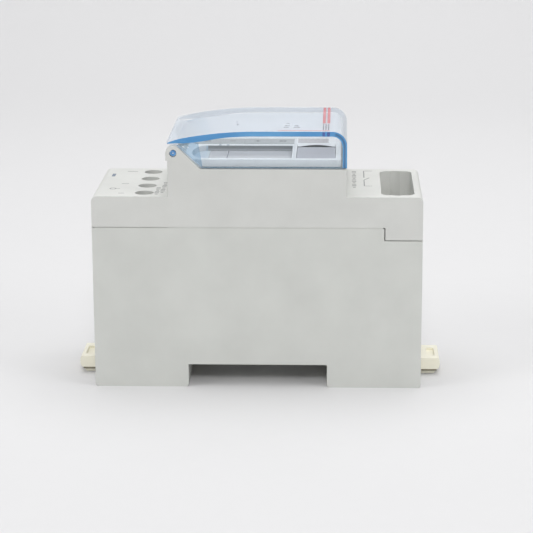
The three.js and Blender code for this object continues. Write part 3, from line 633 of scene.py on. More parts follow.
def swept(
    name: str,
    path: np.ndarray,
    across: np.ndarray,
    up: np.ndarray,
    half_width: float,
    half_height: float,
    finish: Finish,
    body: str,
    slot: str,
    closed: bool = False,
) -> bpy.types.Object:
    """A flat bar carried along a path: point = path + s * across + t * up, round a rectangle.

    Args:
        name: the piece's name.
        path: N x 3 centre line in metres.
        across: N x 3 unit vectors across the bar.
        up: one unit vector through its thickness.
        half_width: half its width in metres.
        half_height: half its thickness in metres.
        finish: what it is made of.
        body: the CAD body that it moves with.
        slot: the record's material slot; not used.
        closed: joins the last point to the first.

    Returns:
        The object.
    """
    signs = np.array([[-1, -1], [1, -1], [1, 1], [-1, 1]], float)
    side = signs[None, :, :1] * half_width * across[:, None, :]
    lift = signs[None, :, 1:] * half_height * up[None, None, :]
    points = path[:, None, :] + side + lift
    faces = strip_faces(len(path), 4, closed, True).tolist()
    if not closed:
        faces += end_faces(len(path))
    return make_piece(name, points, faces, finish, body)


def strip(
    name: str,
    start: Colour,
    end: Colour,
    width: float,
    height: float,
    finish: Finish,
    body: str,
    slot: str,
    steps: int = 2,
) -> bpy.types.Object:
    """A straight flat bar between two places, in millimetres, its width level and its height up.

    Args:
        name: the piece's name.
        start: middle of one end.
        end: middle of the other end.
        width: size across the run, in the level plane.
        height: size upwards.
        finish: what it is made of.
        body: the CAD body that it moves with.
        slot: the record's material slot; not used.
        steps: points along it.

    Returns:
        The object.
    """
    first, last = np.array(start, float), np.array(end, float)
    share = np.linspace(0, 1, steps)[:, None]
    path = first + (last - first) * share
    run = last - first
    across = np.array([-run[1], run[0], 0.0])
    across = np.tile(across / np.linalg.norm(across), (steps, 1))
    half = (width / 2 * MM, height / 2 * MM)
    return swept(name, path * MM, across, UP, *half, finish, body, slot)


def ring(
    name: str,
    centre: Colour,
    radius: float,
    width: float,
    height: float,
    finish: Finish,
    body: str,
    slot: str,
    steps: int = 40,
) -> bpy.types.Object:
    """A flat level ring: point = centre + radius * (cos a, sin a), in millimetres.

    Args:
        name: the piece's name.
        centre: its middle.
        radius: from the middle to the bar's centre line.
        width: the bar's size outwards.
        height: the bar's size upwards.
        finish: what it is made of.
        body: the CAD body that it moves with.
        slot: the record's material slot; not used.
        steps: points round it.

    Returns:
        The object.
    """
    angle = np.linspace(0, 2 * np.pi, steps, endpoint=False)
    out = np.stack([np.cos(angle), np.sin(angle), 0 * angle], axis=-1)
    path = (np.array(centre) + radius * out) * MM
    half = (width / 2 * MM, height / 2 * MM)
    return swept(name, path, out, UP, *half, finish, body, slot, closed=True)


def edged(
    name: str,
    edges: Sequence[np.ndarray],
    finish: Finish,
    body: str,
    ends: bool = True,
) -> bpy.types.Object:
    """A bar given by its four edges, in millimetres: point (i, j) = place i on edge j.

    Args:
        name: the piece's name.
        edges: four N x 3 lines, in order round the bar.
        finish: what it is made of.
        body: the CAD body that it moves with.
        ends: closes both ends.

    Returns:
        The object.
    """
    points = np.stack(edges, axis=1) * MM
    faces = strip_faces(len(points), 4, False, True).tolist()
    if ends:
        faces += end_faces(len(points))
    return make_piece(name, points, faces, finish, body)


def plate(
    name: str, front: np.ndarray, back: np.ndarray, finish: Finish, body: str
) -> bpy.types.Object:
    """A thin plate between two N x 3 outlines, in millimetres, point i facing point i."""
    count = len(front)
    faces = [list(range(count)), list(range(2 * count - 1, count - 1, -1))]
    faces += [[i, (i + 1) % count, (i + 1) % count + count, i + count] for i in range(count)]
    return make_piece(name, np.concatenate([front, back]) * MM, faces, finish, body)


def upright(line: np.ndarray, y: float) -> np.ndarray:
    """Places given as x and z, all put at one y."""
    return np.stack([line[:, 0], np.full(len(line), y), line[:, 1]], axis=-1)


def level(line: np.ndarray, z: float) -> np.ndarray:
    """Places given as x and y, all put at one z."""
    return np.concatenate([line, np.full((len(line), 1), z)], axis=1)


def inward(line: np.ndarray) -> np.ndarray:
    """Unit normals to the right of a line's run, from its slope at each point."""
    run = np.gradient(line, axis=0)
    run /= np.linalg.norm(run, axis=1, keepdims=True)
    return np.stack([run[:, 1], -run[:, 0]], axis=-1)


# ------------------------------------------------------------------ camera, light and floor


@dataclass
class Studio:
    """Pale sweep, soft light and the camera."""

    camera_mm: Colour = (20.84, -502.34, 151.61)
    yaw: float = -0.0380
    pitch: float = 0.2532
    roll: float = -0.0046
    lens_mm: float = 133.447205
    sensor_mm: float = 36.0
    floor_mm: float = -6.0
    wall_y_mm: float = 900.0
    bend_mm: float = 500.0
    room: float = 0.22
    room_colour: Colour = (0.965, 0.98, 1.0)
    lamps: dict[str, tuple[Colour, Colour, float, float]] = field(
        default_factory=lambda: {  # name: place, aim (metres), side, watts
            "overhead": ((0.05, 0.10, 0.75), (0.0, 0.05, 0.0), 0.9, 5.0),
            "left": ((-0.9, -0.45, 0.55), (0.0, 0.0, 0.0), 0.5, 3.0),
            "right": ((0.9, -0.45, 0.55), (0.0, 0.0, 0.0), 0.5, 2.4),
            "key": ((0.05, -0.95, 0.66), (0.0, 0.0, 0.0), 0.2, 4.0),
            "wall": ((0.0, 0.35, 0.9), (0.0, 1.2, 0.2), 0.8, 1.6),
        }
    )

    def camera(self) -> None:
        """Places the camera: forward from yaw and pitch, then a small roll about it."""
        cos_p, sin_p = math.cos(self.pitch), math.sin(self.pitch)
        cos_y, sin_y = math.cos(self.yaw), math.sin(self.yaw)
        forward = Vector((sin_y * cos_p, cos_y * cos_p, -sin_p))
        level = Vector((cos_y, -sin_y, 0.0))
        above = level.cross(forward)
        right = math.cos(self.roll) * level + math.sin(self.roll) * above
        top = math.cos(self.roll) * above - math.sin(self.roll) * level
        data = bpy.data.cameras.new("camera")
        data.sensor_width = self.sensor_mm
        data.lens = self.lens_mm
        data.clip_start = 0.01
        data.clip_end = 20.0
        camera = bpy.data.objects.new("camera", data)
        turn = Matrix((right, top, -forward)).transposed().to_4x4()
        camera.matrix_world = Matrix.Translation(Vector(self.camera_mm) * MM) @ turn
        bpy.context.scene.collection.objects.link(camera)
        bpy.context.scene.camera = camera

    def sweep(self) -> None:
        """The floor runs back, bends up through a quarter circle and becomes the wall."""
        bend = np.linspace(0, np.pi / 2, 25)
        start = self.wall_y_mm - self.bend_mm
        y = np.concatenate([[-2500.0], start + self.bend_mm * np.sin(bend), [self.wall_y_mm]])
        rise = self.bend_mm * (1 - np.cos(bend))
        z = self.floor_mm + np.concatenate([[0.0], rise, [3000.0]])
        x = np.array([-3000.0, 3000.0])
        points = np.stack(np.broadcast_arrays(x[None, :], y[:, None], z[:, None]), axis=-1) * MM
        mesh = bpy.data.meshes.new("paper_sweep")
        faces = strip_faces(len(y), 2, False, False)
        mesh.from_pydata(points.reshape(-1, 3).tolist(), [], faces.tolist())
        mesh.shade_smooth()
        mesh.materials.append(Finish.PAPER.material())
        paper = bpy.data.objects.new("paper_sweep", mesh)
        bpy.context.scene.collection.objects.link(paper)

    def light(self) -> None:
        """A dim even room and large soft lights."""
        world = bpy.data.worlds.new("room")
        world.use_nodes = True
        background = world.node_tree.nodes["Background"]
        background.inputs["Color"].default_value = (*self.room_colour, 1.0)
        background.inputs["Strength"].default_value = self.room
        bpy.context.scene.world = world
        for name, (place, aim, side, watts) in self.lamps.items():
            self.soft_light(name, place, aim, side, watts)

    @staticmethod
    def soft_light(name: str, place: Colour, aim: Colour, side: float, watts: float) -> None:
        """A square area light at place, in metres, turned towards aim."""
        data = bpy.data.lights.new(name, "AREA")
        data.size = side
        data.energy = watts
        lamp = bpy.data.objects.new(name, data)
        lamp.location = place
        towards = Vector(aim) - Vector(place)
        lamp.rotation_euler = towards.to_track_quat("-Z", "Y").to_euler()
        bpy.context.scene.collection.objects.link(lamp)

    def build(self) -> None:
        """Camera, floor, light and a plain colour transform."""
        self.camera()
        self.sweep()
        self.light()
        bpy.context.scene.view_settings.view_transform = "Standard"


# ------------------------------------------------------------------ sub-assemblies


@dataclass
class Housings:
    """The lower and upper housings, with rounded edges, and the lips that close their seam."""

    seam_z: float = 36.1
    seam_right_z: float = 32.9
    step_x: float = 32.3
    front_left: float = -22.4
    half_length: float = 41.87
    half_width: float = 17.5
    edge: float = 0.5
    lip: float = 0.5

    def seam_lips(self) -> None:
        """Bars just inside the seam. They lie deeper beside the left-hand terminals."""
        shallow, deep = 0.1, 0.24
        runs = {
            "left": (-self.half_length + 0.7, self.front_left, self.seam_z, deep),
            "middle": (self.front_left, self.step_x - 0.4, self.seam_z, shallow),
            "right": (self.step_x + 0.4, self.half_length - 0.7, self.seam_right_z, 2.4 * deep),
        }
        for part, (x0, x1, z, depth) in runs.items():
            for side, label in SIDES.items():
                y = side * (self.half_width - depth - self.lip / 2)
                strip(
                    f"seam_lip_{part}_{label}", (x0, y, z), (x1, y, z), self.lip, 0.5,
                    Finish.UPPER_SHELL, "housing", "upper_shell",
                )
        for side, z in ((-1, self.seam_z), (1, self.seam_right_z)):
            x = side * (self.half_length - deep - self.lip / 2)
            y = self.half_width - 0.9
            label = "left" if side < 0 else "right"
            strip(
                f"seam_lip_end_{label}", (x, -y, z), (x, y, z), self.lip, 0.5,
                Finish.UPPER_SHELL, "housing", "upper_shell",
            )

    def build(self) -> None:
        """Rounds both housings and closes their seam."""
        seams = ((2, self.seam_z), (2, self.seam_right_z), (0, self.step_x))
        rounding = Rounding(self.edge, seams=seams)
        for node, level_name, finish in (
            ("base_housing", "lower", Finish.LOWER_SHELL),
            ("top_housing", "upper", Finish.UPPER_SHELL),
        ):
            name, slot = f"{level_name}_housing_shell", f"{level_name}_shell"
            softened(node, name, finish, "housing", rounding)
        self.seam_lips()


@dataclass
class Lid:
    """The clear lid: its shell, the deep blue bands of its edges, its pins and its prints."""

    top: float = 60.8
    right: float = 22.7
    left: float = -22.4
    bottom: float = 51.5
    corner: float = 3.7
    sweep_radius: float = 101.0
    roof: float = 1.3
    end_wall: float = 1.1
    half_width: float = 17.5
    band_depth: float = 0.5
    proud: float = 0.012
    hinge_x: float = -20.95
    hinge_z: float = 55.2
    pin_end: float = 17.28
    ear_corner: float = -13.8
    stripe_x: Place = (16.85, 18.0)
    stripe_width: float = 0.72
    tick_x: Colour = (16.7, 17.35, 18.0)
    line_inset: float = 0.03
    skin: float = 0.06
    end_line_from: float = 19.6
    end_line_depth: float = 0.62
    arm_outline: tuple[Place, ...] = (
        (-20.2, 57.2), (-13.9, 51.8), (-13.6, 51.8), (-14.6, 57.8), (-17.0, 58.0),
    )
    glint_spots: tuple[Colour, ...] = ((-18.6, 56.9, 0.5), (-17.4, 56.7, 0.35))
    pin_profile: tuple[Place, ...] = (  # radius and depth below the pin's end
        (0.0, 0.10), (0.34, 0.10), (0.42, 0.0), (0.68, 0.0), (0.76, 0.06), (0.76, 0.9), (0.0, 0.9),
    )
    small_marks: tuple[tuple[float, float, float], ...] = (
        (7.2, -6.6, 0.9), (6.9, -9.4, 1.3), (6.7, -11.6, 1.2), (9.4, -9.6, 1.0), (9.2, -11.8, 1.6),
        (-5.6, -4.0, 0.3), (-5.4, -7.6, 0.6),
    )

    def profile(self, inset: float, roof_steps: int = 24, corner_steps: int = 14) -> np.ndarray:
        """The lid's side line from its hinge end, along the roof and down the end wall.

        The roof's height is top for x above 0 and falls as a circle of sweep_radius below 0.

        Args:
            inset: how far inside the outer face the line runs.
            roof_steps: points along the roof.
            corner_steps: points round the corner.

        Returns:
            N x 2 places, x and z in millimetres.
        """
        centre_x, centre_z = self.right - self.corner, self.top - self.corner
        x = np.linspace(self.left + 0.05, centre_x, roof_steps)
        radius = self.sweep_radius - inset
        behind = np.minimum(x, 0.0)
        z = self.top - inset - (radius - np.sqrt(radius**2 - behind**2))
        turn = np.linspace(np.pi / 2, 0, corner_steps)[1:]
        bend = self.corner - inset
        corner = np.stack([centre_x + bend * np.cos(turn), centre_z + bend * np.sin(turn)], axis=-1)
        foot = np.array([[self.right - inset, self.bottom + 0.05]])
        return np.concatenate([np.stack([x, z], axis=-1), corner, foot])

    def thickness(self, x: np.ndarray) -> np.ndarray:
        """Depth of the band at each x: even along the roof, fuller near the hinge, then a point."""
        fuller = 0.35 * np.exp(-(((x + 14.5) / 4.5) ** 2))
        taper = np.clip((x - self.left) / 4.0, 0.06, 1.0) ** 0.6
        return (self.roof - 0.08 + fuller) * taper

    def band(self, side: int) -> None:
        """The roof and end wall seen edge-on in one flank.

        The strip's outer line is the lid's side line; the inner line lies thickness(x) inside it
        along the line's own normal, so outer and inner stay an even distance apart round the bend.
        """
        outer = self.profile(self.line_inset)
        outer[:, 1] -= 0.4 * np.exp(-(((outer[:, 0] - self.left) / 1.6) ** 2))
        depth = self.thickness(outer[:, 0])
        depth[-2:] = self.end_wall
        inner = outer + inward(outer) * depth[:, None]
        inner[-1, 1] = outer[-1, 1]
        for name, depth_out, depth_in, finish in (
            ("lid_edge", -self.proud, self.skin, Finish.LID_EDGE),
            ("lid_edge_inner", self.skin, self.band_depth, Finish.LID_EDGE_PALE),
        ):
            outer_y = side * (self.half_width - depth_out)
            inner_y = side * (self.half_width - depth_in)
            corners = ((outer, outer_y), (inner, outer_y), (inner, inner_y), (outer, inner_y))
            edges = [upright(line, y) for line, y in corners]
            edged(f"{name}_{SIDES[side]}", edges, finish, "lid")

    def end_line(self, side: int) -> None:
        """A darker line inside the band where it turns down the end wall."""
        outer = self.profile(self.line_inset)
        normal = inward(outer)
        kept = outer[:, 0] > self.end_line_from
        line = outer + normal * self.end_line_depth
        path = upright(line[kept], side * (self.half_width + self.proud))
        across = upright(normal[kept], 0.0)
        up = np.array([0.0, float(side), 0.0])
        swept(
            f"lid_end_line_{SIDES[side]}", path * MM, across, up, 0.24 * MM, self.proud * MM,
            Finish.LID_EDGE_DARK, "lid", "lid_clear",
        )

    def crossings(self, side: int) -> None:
        """The stripes' ends where they show violet through the band."""
        y = side * (self.half_width + self.proud + 0.01)
        low, high = self.top - 1.15, self.top - 0.12
        across, up = np.tile([1.0, 0.0, 0.0], (2, 1)), np.array([0.0, 1.0, 0.0])
        for number, x in enumerate(self.stripe_x, 1):
            path = np.array([[x, y, low], [x, y, high]]) * MM
            swept(
                f"lid_stripe_end_{SIDES[side]}_{number}", path, across, up, 0.34 * MM, 0.008 * MM,
                Finish.INK_VIOLET, "lid", "lid_clear",
            )

    def arm(self, side: int) -> None:
        """The deeper tint inside the arm, between the ear's slope and the display's bow."""
        corners = np.array(self.arm_outline)
        front, back = (upright(corners, side * (self.half_width - y)) for y in (0.5, 0.56))
        plate(f"lid_arm_{SIDES[side]}", front, back, Finish.LID_ARM, "lid")

    def glints(self, side: int) -> None:
        """Painted highlights: small bright glints on the arm beside the ear."""
        y = side * (self.half_width - 0.35)
        for number, (x, z, size) in enumerate(self.glint_spots, 1):
            strip(
                f"lid_glint_{SIDES[side]}_{number}", (x, y, z), (x + size, y, z - 0.05), 0.3, 0.28,
                Finish.GLINT, "lid", "lid_clear",
            )

    def pin(self, side: int) -> None:
        """The end of a hinge pin: a shallow dished disc, turned about the hinge's axis, with a
        painted highlight dot at its middle.
        """
        profile, steps = np.array(self.pin_profile), 36
        angle = np.linspace(0, 2 * np.pi, steps, endpoint=False)[None, :]
        radius, depth = profile[:, :1], profile[:, 1:]
        x = self.hinge_x + radius * np.cos(angle)
        z = self.hinge_z + radius * np.sin(angle)
        y = side * (self.pin_end - depth) + 0 * angle
        faces = strip_faces(len(profile), steps, False, True)
        name = f"lid_pin_{SIDES[side]}"
        points = np.stack([x, y, z], axis=-1) * MM
        make_piece(name, points, faces, Finish.LID_PIN, "lid")
        # a painted highlight: a small bright dot at the middle of the pin's end
        x, glint_dot = self.hinge_x - 0.1, side * (self.pin_end - 0.08)
        strip(
            f"{name}_dot", (x, glint_dot, self.hinge_z), (x + 0.26, glint_dot, self.hinge_z), 0.06, 0.24,
            Finish.GLINT, "lid", "lid_clear",
        )

    def foot(self) -> None:
        """The lower rim of the flanks and end wall, where the tint shows as a thin line."""
        z = self.bottom + 0.09
        left, right = self.ear_corner, self.right - 0.1
        for side, label in SIDES.items():
            y = side * (self.half_width - 0.45)
            strip(
                f"lid_rim_{label}", (left, y, z), (right, y, z), 0.92, 0.2, Finish.LID_RIM,
                "lid", "lid_clear",
            )
        x = self.right - 0.5
        strip(
            "lid_rim_end", (x, -16.8, z), (x, 16.8, z), 0.9, 0.2, Finish.LID_RIM, "lid", "lid_clear"
        )

    def printed(self, name: str, start: Place, end: Place, width: float, finish: Finish) -> None:
        """A thin printed line on the roof between two places, x and y in millimetres."""
        z = self.top + 0.015
        strip(f"lid_{name}", (*start, z), (*end, z), width, 0.02, finish, "lid", "lid_clear")

    def prints(self) -> None:
        """Two stripes across the roof, a rule along its near edge and a few small marks."""
        for number, x in enumerate(self.stripe_x, 1):
            self.printed(
                f"stripe_{number}", (x, -6.0), (x, 17.2), self.stripe_width, Finish.INK_RED
            )
        self.printed("rule", (5.3, -16.0), (18.3, -16.0), 0.6, Finish.INK_PINK)
        for number, x in enumerate(self.tick_x, 1):
            self.printed(f"tick_{number}", (x, -15.2), (x, -7.0), 0.3, Finish.INK_GREY_THIN)
        for number, (x, y, size) in enumerate(self.small_marks, 1):
            self.printed(f"mark_{number}", (x, y), (x + size, y), 0.9, Finish.INK_GREY_THIN)

    def build(self) -> None:
        """Shell, bands, pins, rims and prints."""
        softened("lid", "lid_shell", Finish.LID, "lid", Rounding(0.3, 2))
        parts = (self.band, self.end_line, self.crossings, self.arm, self.glints, self.pin)
        for side in SIDES:
            for part in parts:
                part(side)
        self.foot()
        self.prints()


@dataclass
class FrontPanel:
    """The panel under the lid, its display and its keys."""

    window_left: float = -17.0
    window_bow: float = -13.4
    window_right: float = 8.7
    window_y: Place = (-13.8, 2.9)
    bow_steps: int = 16
    top: float = 53.3
    lens_top: float = 51.9
    buttons: tuple[str, ...] = ("menu_button", "minus_button", "plus_button", "ok_button")
    key_x: Place = (10.1, 19.5)
    button_x: float = -13.9
    button_pitch: float = 6.6
    button_y: float = 8.6
    button_top: float = 53.4
    slot_near: float = 2.02
    slot_far: float = 4.96

    def window_line(self, inset: float) -> np.ndarray:
        """The window's outline: three straight sides and a bow at the hinge end.

        The bow is half an ellipse that bulges from window_bow to window_left.

        Args:
            inset: how far inside the outline the line runs.

        Returns:
            N x 2 places, x and y in millimetres.
        """
        y0, y1 = self.window_y[0] + inset, self.window_y[1] - inset
        middle, half = (y0 + y1) / 2, (y1 - y0) / 2
        angle = np.linspace(np.pi / 2, 3 * np.pi / 2, self.bow_steps)
        reach = self.window_bow - self.window_left - inset
        bulge = np.sign(np.cos(angle)) * np.abs(np.cos(angle)) ** 0.8
        bow = np.stack([self.window_bow + reach * bulge, middle + half * np.sin(angle)], axis=-1)
        right = self.window_right - inset
        side = np.linspace(y0, y1, 5)
        edge = np.stack([np.full(5, right), side], axis=-1)
        return np.concatenate([bow, edge])

    def surround(self) -> None:
        """Thin liners on the window's wall, with painted shade: darker above, paler below, bluish
        round the bow.
        """
        outer, inner = self.window_line(0.02), self.window_line(0.16)
        low, top = self.lens_top + 0.03, self.top - 0.06
        middle = low + 0.42 * (top - low)
        count = self.bow_steps
        bow, straight = np.arange(count), np.append(np.arange(count - 1, len(outer)), 0)
        # the upper and lower liners paint the wall's shade, darkest at its top
        for name, part, z0, z1, finish in (
            ("bow", bow, low, top, Finish.BOW),
            ("upper", straight, middle, top, Finish.SURROUND),
            ("lower", straight, low, middle, Finish.SURROUND_PALE),
        ):
            corners = ((outer, z1), (inner, z1), (inner, z0), (outer, z0))
            edges = [level(line[part], z) for line, z in corners]
            edged(f"window_shade_liner_{name}", edges, finish, "housing", ends=False)

    def bow_plate(self) -> None:
        """A pale bluish mask behind the bowed end of the window, with a light bar at its edge."""
        line = self.window_line(0.2)[: self.bow_steps]
        z = self.lens_top + 0.02
        plate("bow_mask", level(line, z + 0.03), level(line, z), Finish.BOW, "housing")
        x = self.window_bow + 0.3
        y0, y1 = self.window_y
        strip(
            "bow_bar", (x, y0 + 0.4, z + 0.03), (x, y1 - 0.4, z + 0.03), 0.7, 0.06, Finish.BAR,
            "housing", "lens",
        )

    def display(self) -> None:
        """The window, its liner, its mask and the thin rule between its two fields."""
        softened(
            "display_lens", "display_window", Finish.LENS, "housing",
            Rounding(0.1, 2, grow_mm=(0.22, 0.22, 0.0)),
        )
        self.surround()
        self.bow_plate()
        y0, y1 = self.window_y
        x, z = (self.window_bow + self.window_right) / 2, self.lens_top + 0.01
        strip(
            "display_face", (x, y0 + 0.1, z), (x, y1 - 0.1, z),
            self.window_right - self.window_bow - 0.2, 0.016, Finish.FACE, "housing", "lens",
        )
        z = self.lens_top + 0.03
        strip(
            "display_rule", (-8.0, y0 + 0.4, z), (-8.0, y1 - 0.4, z), 0.22, 0.02,
            Finish.INK_GREY_THIN, "housing", "lens",
        )

    def symbols(self) -> None:
        """A generic sign on each key: three bars, one bar, a cross and a ring."""
        half, width, z = 0.85, 0.3, self.button_top + 0.012
        bars = {
            "menu_button": tuple((-half, place, half, place) for place in (-0.7, 0.0, 0.7)),
            "minus_button": ((-half, 0.0, half, 0.0),),
            "plus_button": ((-half, 0.0, half, 0.0), (0.0, -half, 0.0, half)),
        }
        for key, name in enumerate(self.buttons):
            x, y = self.button_x + key * self.button_pitch, self.button_y
            for number, (x0, y0, x1, y1) in enumerate(bars.get(name, ()), 1):
                strip(
                    f"{name}_sign_{number}", (x + x0, y + y0, z), (x + x1, y + y1, z), width,
                    0.02, Finish.INK_PALE, name, "button",
                )
        ring(
            "ok_button_sign", (x, y, z), 0.75, width, 0.02, Finish.INK_PALE, "ok_button", "button",
            steps=32,
        )

    def programming_key(self) -> None:
        """The memory key, and the plate beyond it whose scalloped edge leaves a finger slot.

        The scallop's depth along x is that of half a sine wave; the slot's wall is coloured dark as
        painted shade.
        """
        softened(
            "programming_key", "programming_key_cap", Finish.KEY_CAP, "programming_key",
            Rounding(0.25, grow_mm=(0.2, 0.0, 0.0)),
        )
        share = np.linspace(0, 1, 32)
        x = self.key_x[0] - 0.2 + share * (self.key_x[1] - self.key_x[0] + 0.4)
        scallop = self.slot_near + 2.2 * np.sin(np.pi * np.clip(share * 1.2 - 0.1, 0, 1)) ** 0.8
        for name, y0, y1, low, high, finish in (
            ("key_slot_plate", scallop, self.slot_far, 52.4, 53.27, Finish.PANEL),
            # the slot's wall: a dark piece that paints the shade inside the slot
            ("key_slot_shaded_wall", scallop - 0.06, self.slot_far - 0.1, 51.9, 53.2, Finish.SLOT),
        ):
            near, far = np.stack([x, y0], axis=-1), np.stack([x, y1 + 0 * x], axis=-1)
            corners = ((near, low), (near, high), (far, high), (far, low))
            edges = [level(line, z) for line, z in corners]
            edged(name, edges, finish, "housing")

    def rib(self) -> None:
        """The bright rib between the display and the programming key, and two small painted
        highlights (pips).
        """
        x, z = 9.25, self.top + 0.04
        strip(
            "panel_rib", (x, -13.9, z), (x, 13.2, z), 0.6, 0.16, Finish.DIVIDER, "housing", "panel"
        )
        # a faint rose-tinted field on the panel beside the programming key
        z_field = self.top + 0.012
        strip(
            "panel_field", (13.9, 6.5, z_field), (13.9, 12.6, z_field), 8.0, 0.016,
            Finish.INK_ROSE, "housing", "panel",
        )
        # painted highlights: two small bright pips at the window's far edge
        for number, pip_x in enumerate((-10.6, -8.6), 1):
            strip(
                f"panel_glint_pip_{number}", (pip_x, 3.2, z + 0.1), (pip_x + 0.7, 3.2, z + 0.1), 0.7,
                0.36, Finish.GLINT, "housing", "panel",
            )

    def build(self) -> None:
        """Panel, display, keys and the programming key."""
        softened(
            "front_panel", "front_panel_shell", Finish.PANEL, "housing", Rounding(0.3)
        )
        self.display()
        for name in self.buttons:
            softened(
                name, f"{name}_cap", Finish.BUTTON, name,
                Rounding(0.07, grow_mm=(0.17, 0.2, 0.0)),
            )
        self.symbols()
        self.programming_key()
        self.rib()


@dataclass
class RailClips:
    """The two sprung clips, each with a web that closes its tool slot below the top."""

    radius: float = 0.22
    slot_middle: float = 45.0
    slot_size: Place = (1.94, 3.46)
    web_z: float = -2.3
    web: float = 0.3
    gap_middle: float = 44.5
    gap_width: float = 4.0
    gap_inset: float = 0.25
    gap_z: float = -4.75

    def build(self) -> None:
        """Rounds both clips and adds their webs and the painted shadow under their tabs."""
        width, half = self.slot_size
        for side, sign in (("right", 1), ("left", -1)):
            node = f"rail_clip_{side}"
            softened(node, f"{node}_moulding", Finish.CLIP, node, Rounding(self.radius, 2))
            x = sign * self.slot_middle
            strip(
                f"{node}_web", (x, -half, self.web_z), (x, half, self.web_z), width, self.web,
                Finish.CLIP, node, "clip",
            )
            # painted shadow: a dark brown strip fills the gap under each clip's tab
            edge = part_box(node)[1].y / MM - self.gap_inset
            x = sign * self.gap_middle
            strip(
                f"{node}_gap", (x, -edge, self.gap_z), (x, edge, self.gap_z), self.gap_width, 0.44,
                Finish.CLIP_SHADE, node, "clip",
            )


@dataclass
class Marks:
    """Generic printed marks on the shoulders."""

    shoulder: float = 44.1
    thickness: float = 0.012
    ink: Finish = Finish.INK_PALE

    def line(
        self, name: str, start: Place, end: Place, width: float, finish: Finish = Finish.INK_GREY
    ) -> None:
        """A straight printed stroke between two places on a shoulder, in millimetres."""
        z, height = self.shoulder + self.thickness, 2 * self.thickness
        strip(name, (*start, z), (*end, z), width, height, finish, "housing", "upper_shell")

    def column(self, name: str, x: float, start: float, end: float, size: float) -> None:
        """A column of short parallel bars of two lengths, where small print would sit."""
        places = np.arange(start, end, size * 1.5)
        for number, y in enumerate(places):
            half = 0.55 if number % 3 else 0.35
            self.line(f"{name}_{number}", (x - half, y), (x + half, y), size * 0.55, self.ink)

    def build(self) -> None:
        """Marks beside the four access holes and beside the terminal well."""
        ring(
            "mark_ring", (-37.3, -8.1, self.shoulder + self.thickness), 0.75, 0.25,
            2 * self.thickness, Finish.INK_GREY, "housing", "upper_shell",
        )
        self.line("mark_ring_stem", (-36.5, -8.1), (-35.5, -8.1), 0.25)
        bars = ((-35.65, -33.8, -2.0), (-35.4, -33.9, -13.5), (-35.7, -33.05, 13.5))
        for number, (left, right, y) in enumerate(bars, 1):
            self.line(f"mark_bar_{number}", (left, y), (right, y), 0.3)
        self.line("mark_plate", (-38.9, 7.0), (-38.9, 10.4), 0.9, Finish.INK_BLUE)
        self.column("mark_left_1", -25.6, -14.5, -6.5, 1.0)
        self.column("mark_left_2", -24.3, -12.4, 0.0, 1.1)
        self.column("mark_right", 24.6, -5.5, 14.5, 1.2)
        x, low, pivot, gap, high = 27.2, -4.0, 3.4, 6.4, 14.9
        contact = {
            "1": ((x, low), (x, pivot)),
            "2": ((x, gap), (x, high)),
            "arm": ((x, pivot), (x + 1.4, gap - 0.2)),
            "end_1": ((x, high), (x + 2.2, high)),
            "end_2": ((x, low), (x + 2.0, low)),
        }
        for name, (start, end) in contact.items():
            self.line(f"mark_contact_{name}", start, end, 0.26, self.ink)


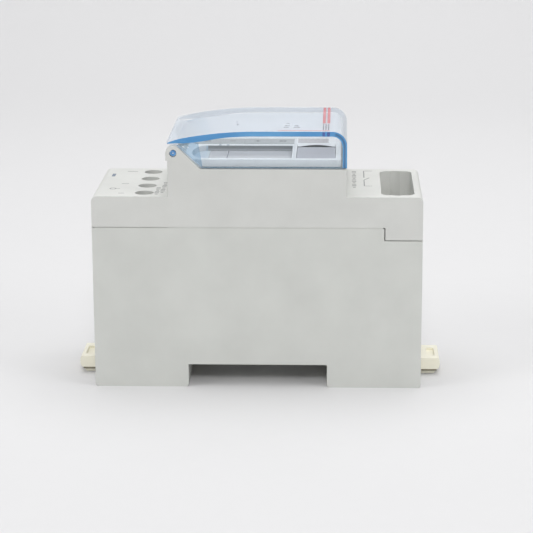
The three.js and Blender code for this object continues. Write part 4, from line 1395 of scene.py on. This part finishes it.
@dataclass
class Terminals:
    """Screws with crossed recesses, their cages and tongues."""

    count: int = 8
    head_radius: float = 2.1
    head_height: float = 1.6
    shank_radius: float = 1.3
    recess: float = 0.9
    pitch: float = 0.7
    thread_rings: int = 40

    def screw(self, number: int) -> None:
        """A turned head with a crossed recess, and a shank whose thread is a helix.

        The head's top is a polar grid: its height falls by recess inside two crossed slots.
        """
        node = f"terminal_screw_{number}"
        low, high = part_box(node)
        centre_x, centre_y = (low.x + high.x) / 2 / MM, (low.y + high.y) / 2 / MM
        top, bottom = high.z / MM, low.z / MM
        steps, rings = 96, 26
        angle = np.linspace(0, 2 * np.pi, steps, endpoint=False)[None, :]
        radius = np.linspace(0.0, self.head_radius - 0.35, rings)[:, None]
        x, y = radius * np.cos(angle), radius * np.sin(angle)
        arms = [
            np.clip((0.34 - np.abs(a)) / 0.12, 0, 1) * np.clip((1.6 - np.abs(b)) / 0.2, 0, 1)
            for a, b in ((x, y), (y, x))
        ]
        face = top - self.recess * np.maximum(*arms)
        head, shank, under = self.head_radius, self.shank_radius, top - self.head_height
        shoulder = [[head - 0.12, top - 0.1], [head, top - 0.35]]
        side = np.array([*shoulder, [head, under], [shank, under]])
        radius_side, z_side = side[:, :1] + 0 * angle, side[:, 1:] + 0 * angle
        z_thread = np.linspace(under, bottom + 0.5, self.thread_rings)[:, None] + 0 * angle
        phase = (z_thread / self.pitch + angle / (2 * np.pi)) % 1.0
        radius_thread = shank - 0.24 * np.abs(2 * phase - 1)
        tip = np.array([[1.0], [0.0]]) + 0 * angle
        radii = np.concatenate([radius + 0 * angle, radius_side, radius_thread, tip])
        heights = np.concatenate([face, z_side, z_thread, bottom + 0 * tip])
        points = np.stack(
            [centre_x + radii * np.cos(angle), centre_y + radii * np.sin(angle), heights], axis=-1
        )
        faces = strip_faces(len(radii), steps, False, True)
        piece = make_piece(
            f"{node}_threaded", points * MM, faces, Finish.SCREW, node, 40.0
        )
        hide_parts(node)

    def build(self) -> None:
        """All eight terminals."""
        for number in range(1, self.count + 1):
            self.screw(number)
            cage = f"terminal_cage_{number}"
            softened(cage, f"{cage}_bent", Finish.CAGE, cage, Rounding(0.25, 2))
            tongue = f"terminal_tongue_{number}"
            softened(
                tongue, f"{tongue}_strip", Finish.TONGUE, "housing",
                Rounding(0.12, 2),
            )


@dataclass
class InnerParts:
    """The CAD nodes that keep their shape and get a finish."""

    finishes: dict[str, Finish] = field(
        default_factory=lambda: {
            "lcd_panel": Finish.LCD,
            "lcd_light_guide": Finish.LIGHT_GUIDE,
            "zebra_strip": Finish.SILICONE,
            "display_board": Finish.BOARD,
            "power_board": Finish.BOARD,
            "board_link_header": Finish.PINS,
            "button_mat": Finish.SILICONE,
            "key_socket": Finish.SOCKET,
            "relay_1": Finish.RELAY,
            "relay_2": Finish.RELAY,
            "dropper_capacitor": Finish.FILM,
            "smoothing_capacitor": Finish.CAN,
            "varistor": Finish.VARISTOR,
            "fuse_resistor": Finish.RESISTOR,
            "cell_holder": Finish.SOCKET,
            "backup_cell": Finish.CELL,
            "microcontroller": Finish.CHIP,
            "quartz_crystal": Finish.CELL,
        }
    )

    def build(self) -> None:
        """Puts each finish on its node."""
        for node, finish in self.finishes.items():
            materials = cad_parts[node].data.materials
            materials.clear()
            materials.append(finish.material())
            LOG.info("%s keeps its shape, in %s", node, finish.value.name)


# ------------------------------------------------------------------ build


def main() -> None:
    """Builds everything in order."""
    logging.basicConfig(level=logging.INFO, format="%(name)s: %(message)s")
    for part in (
        Studio(), Housings(), Lid(), FrontPanel(), RailClips(), Marks(), Terminals(), InnerParts(),
    ):
        part.build()
        LOG.info("%s done", type(part).__name__)


if __name__ == "__main__":
    main()
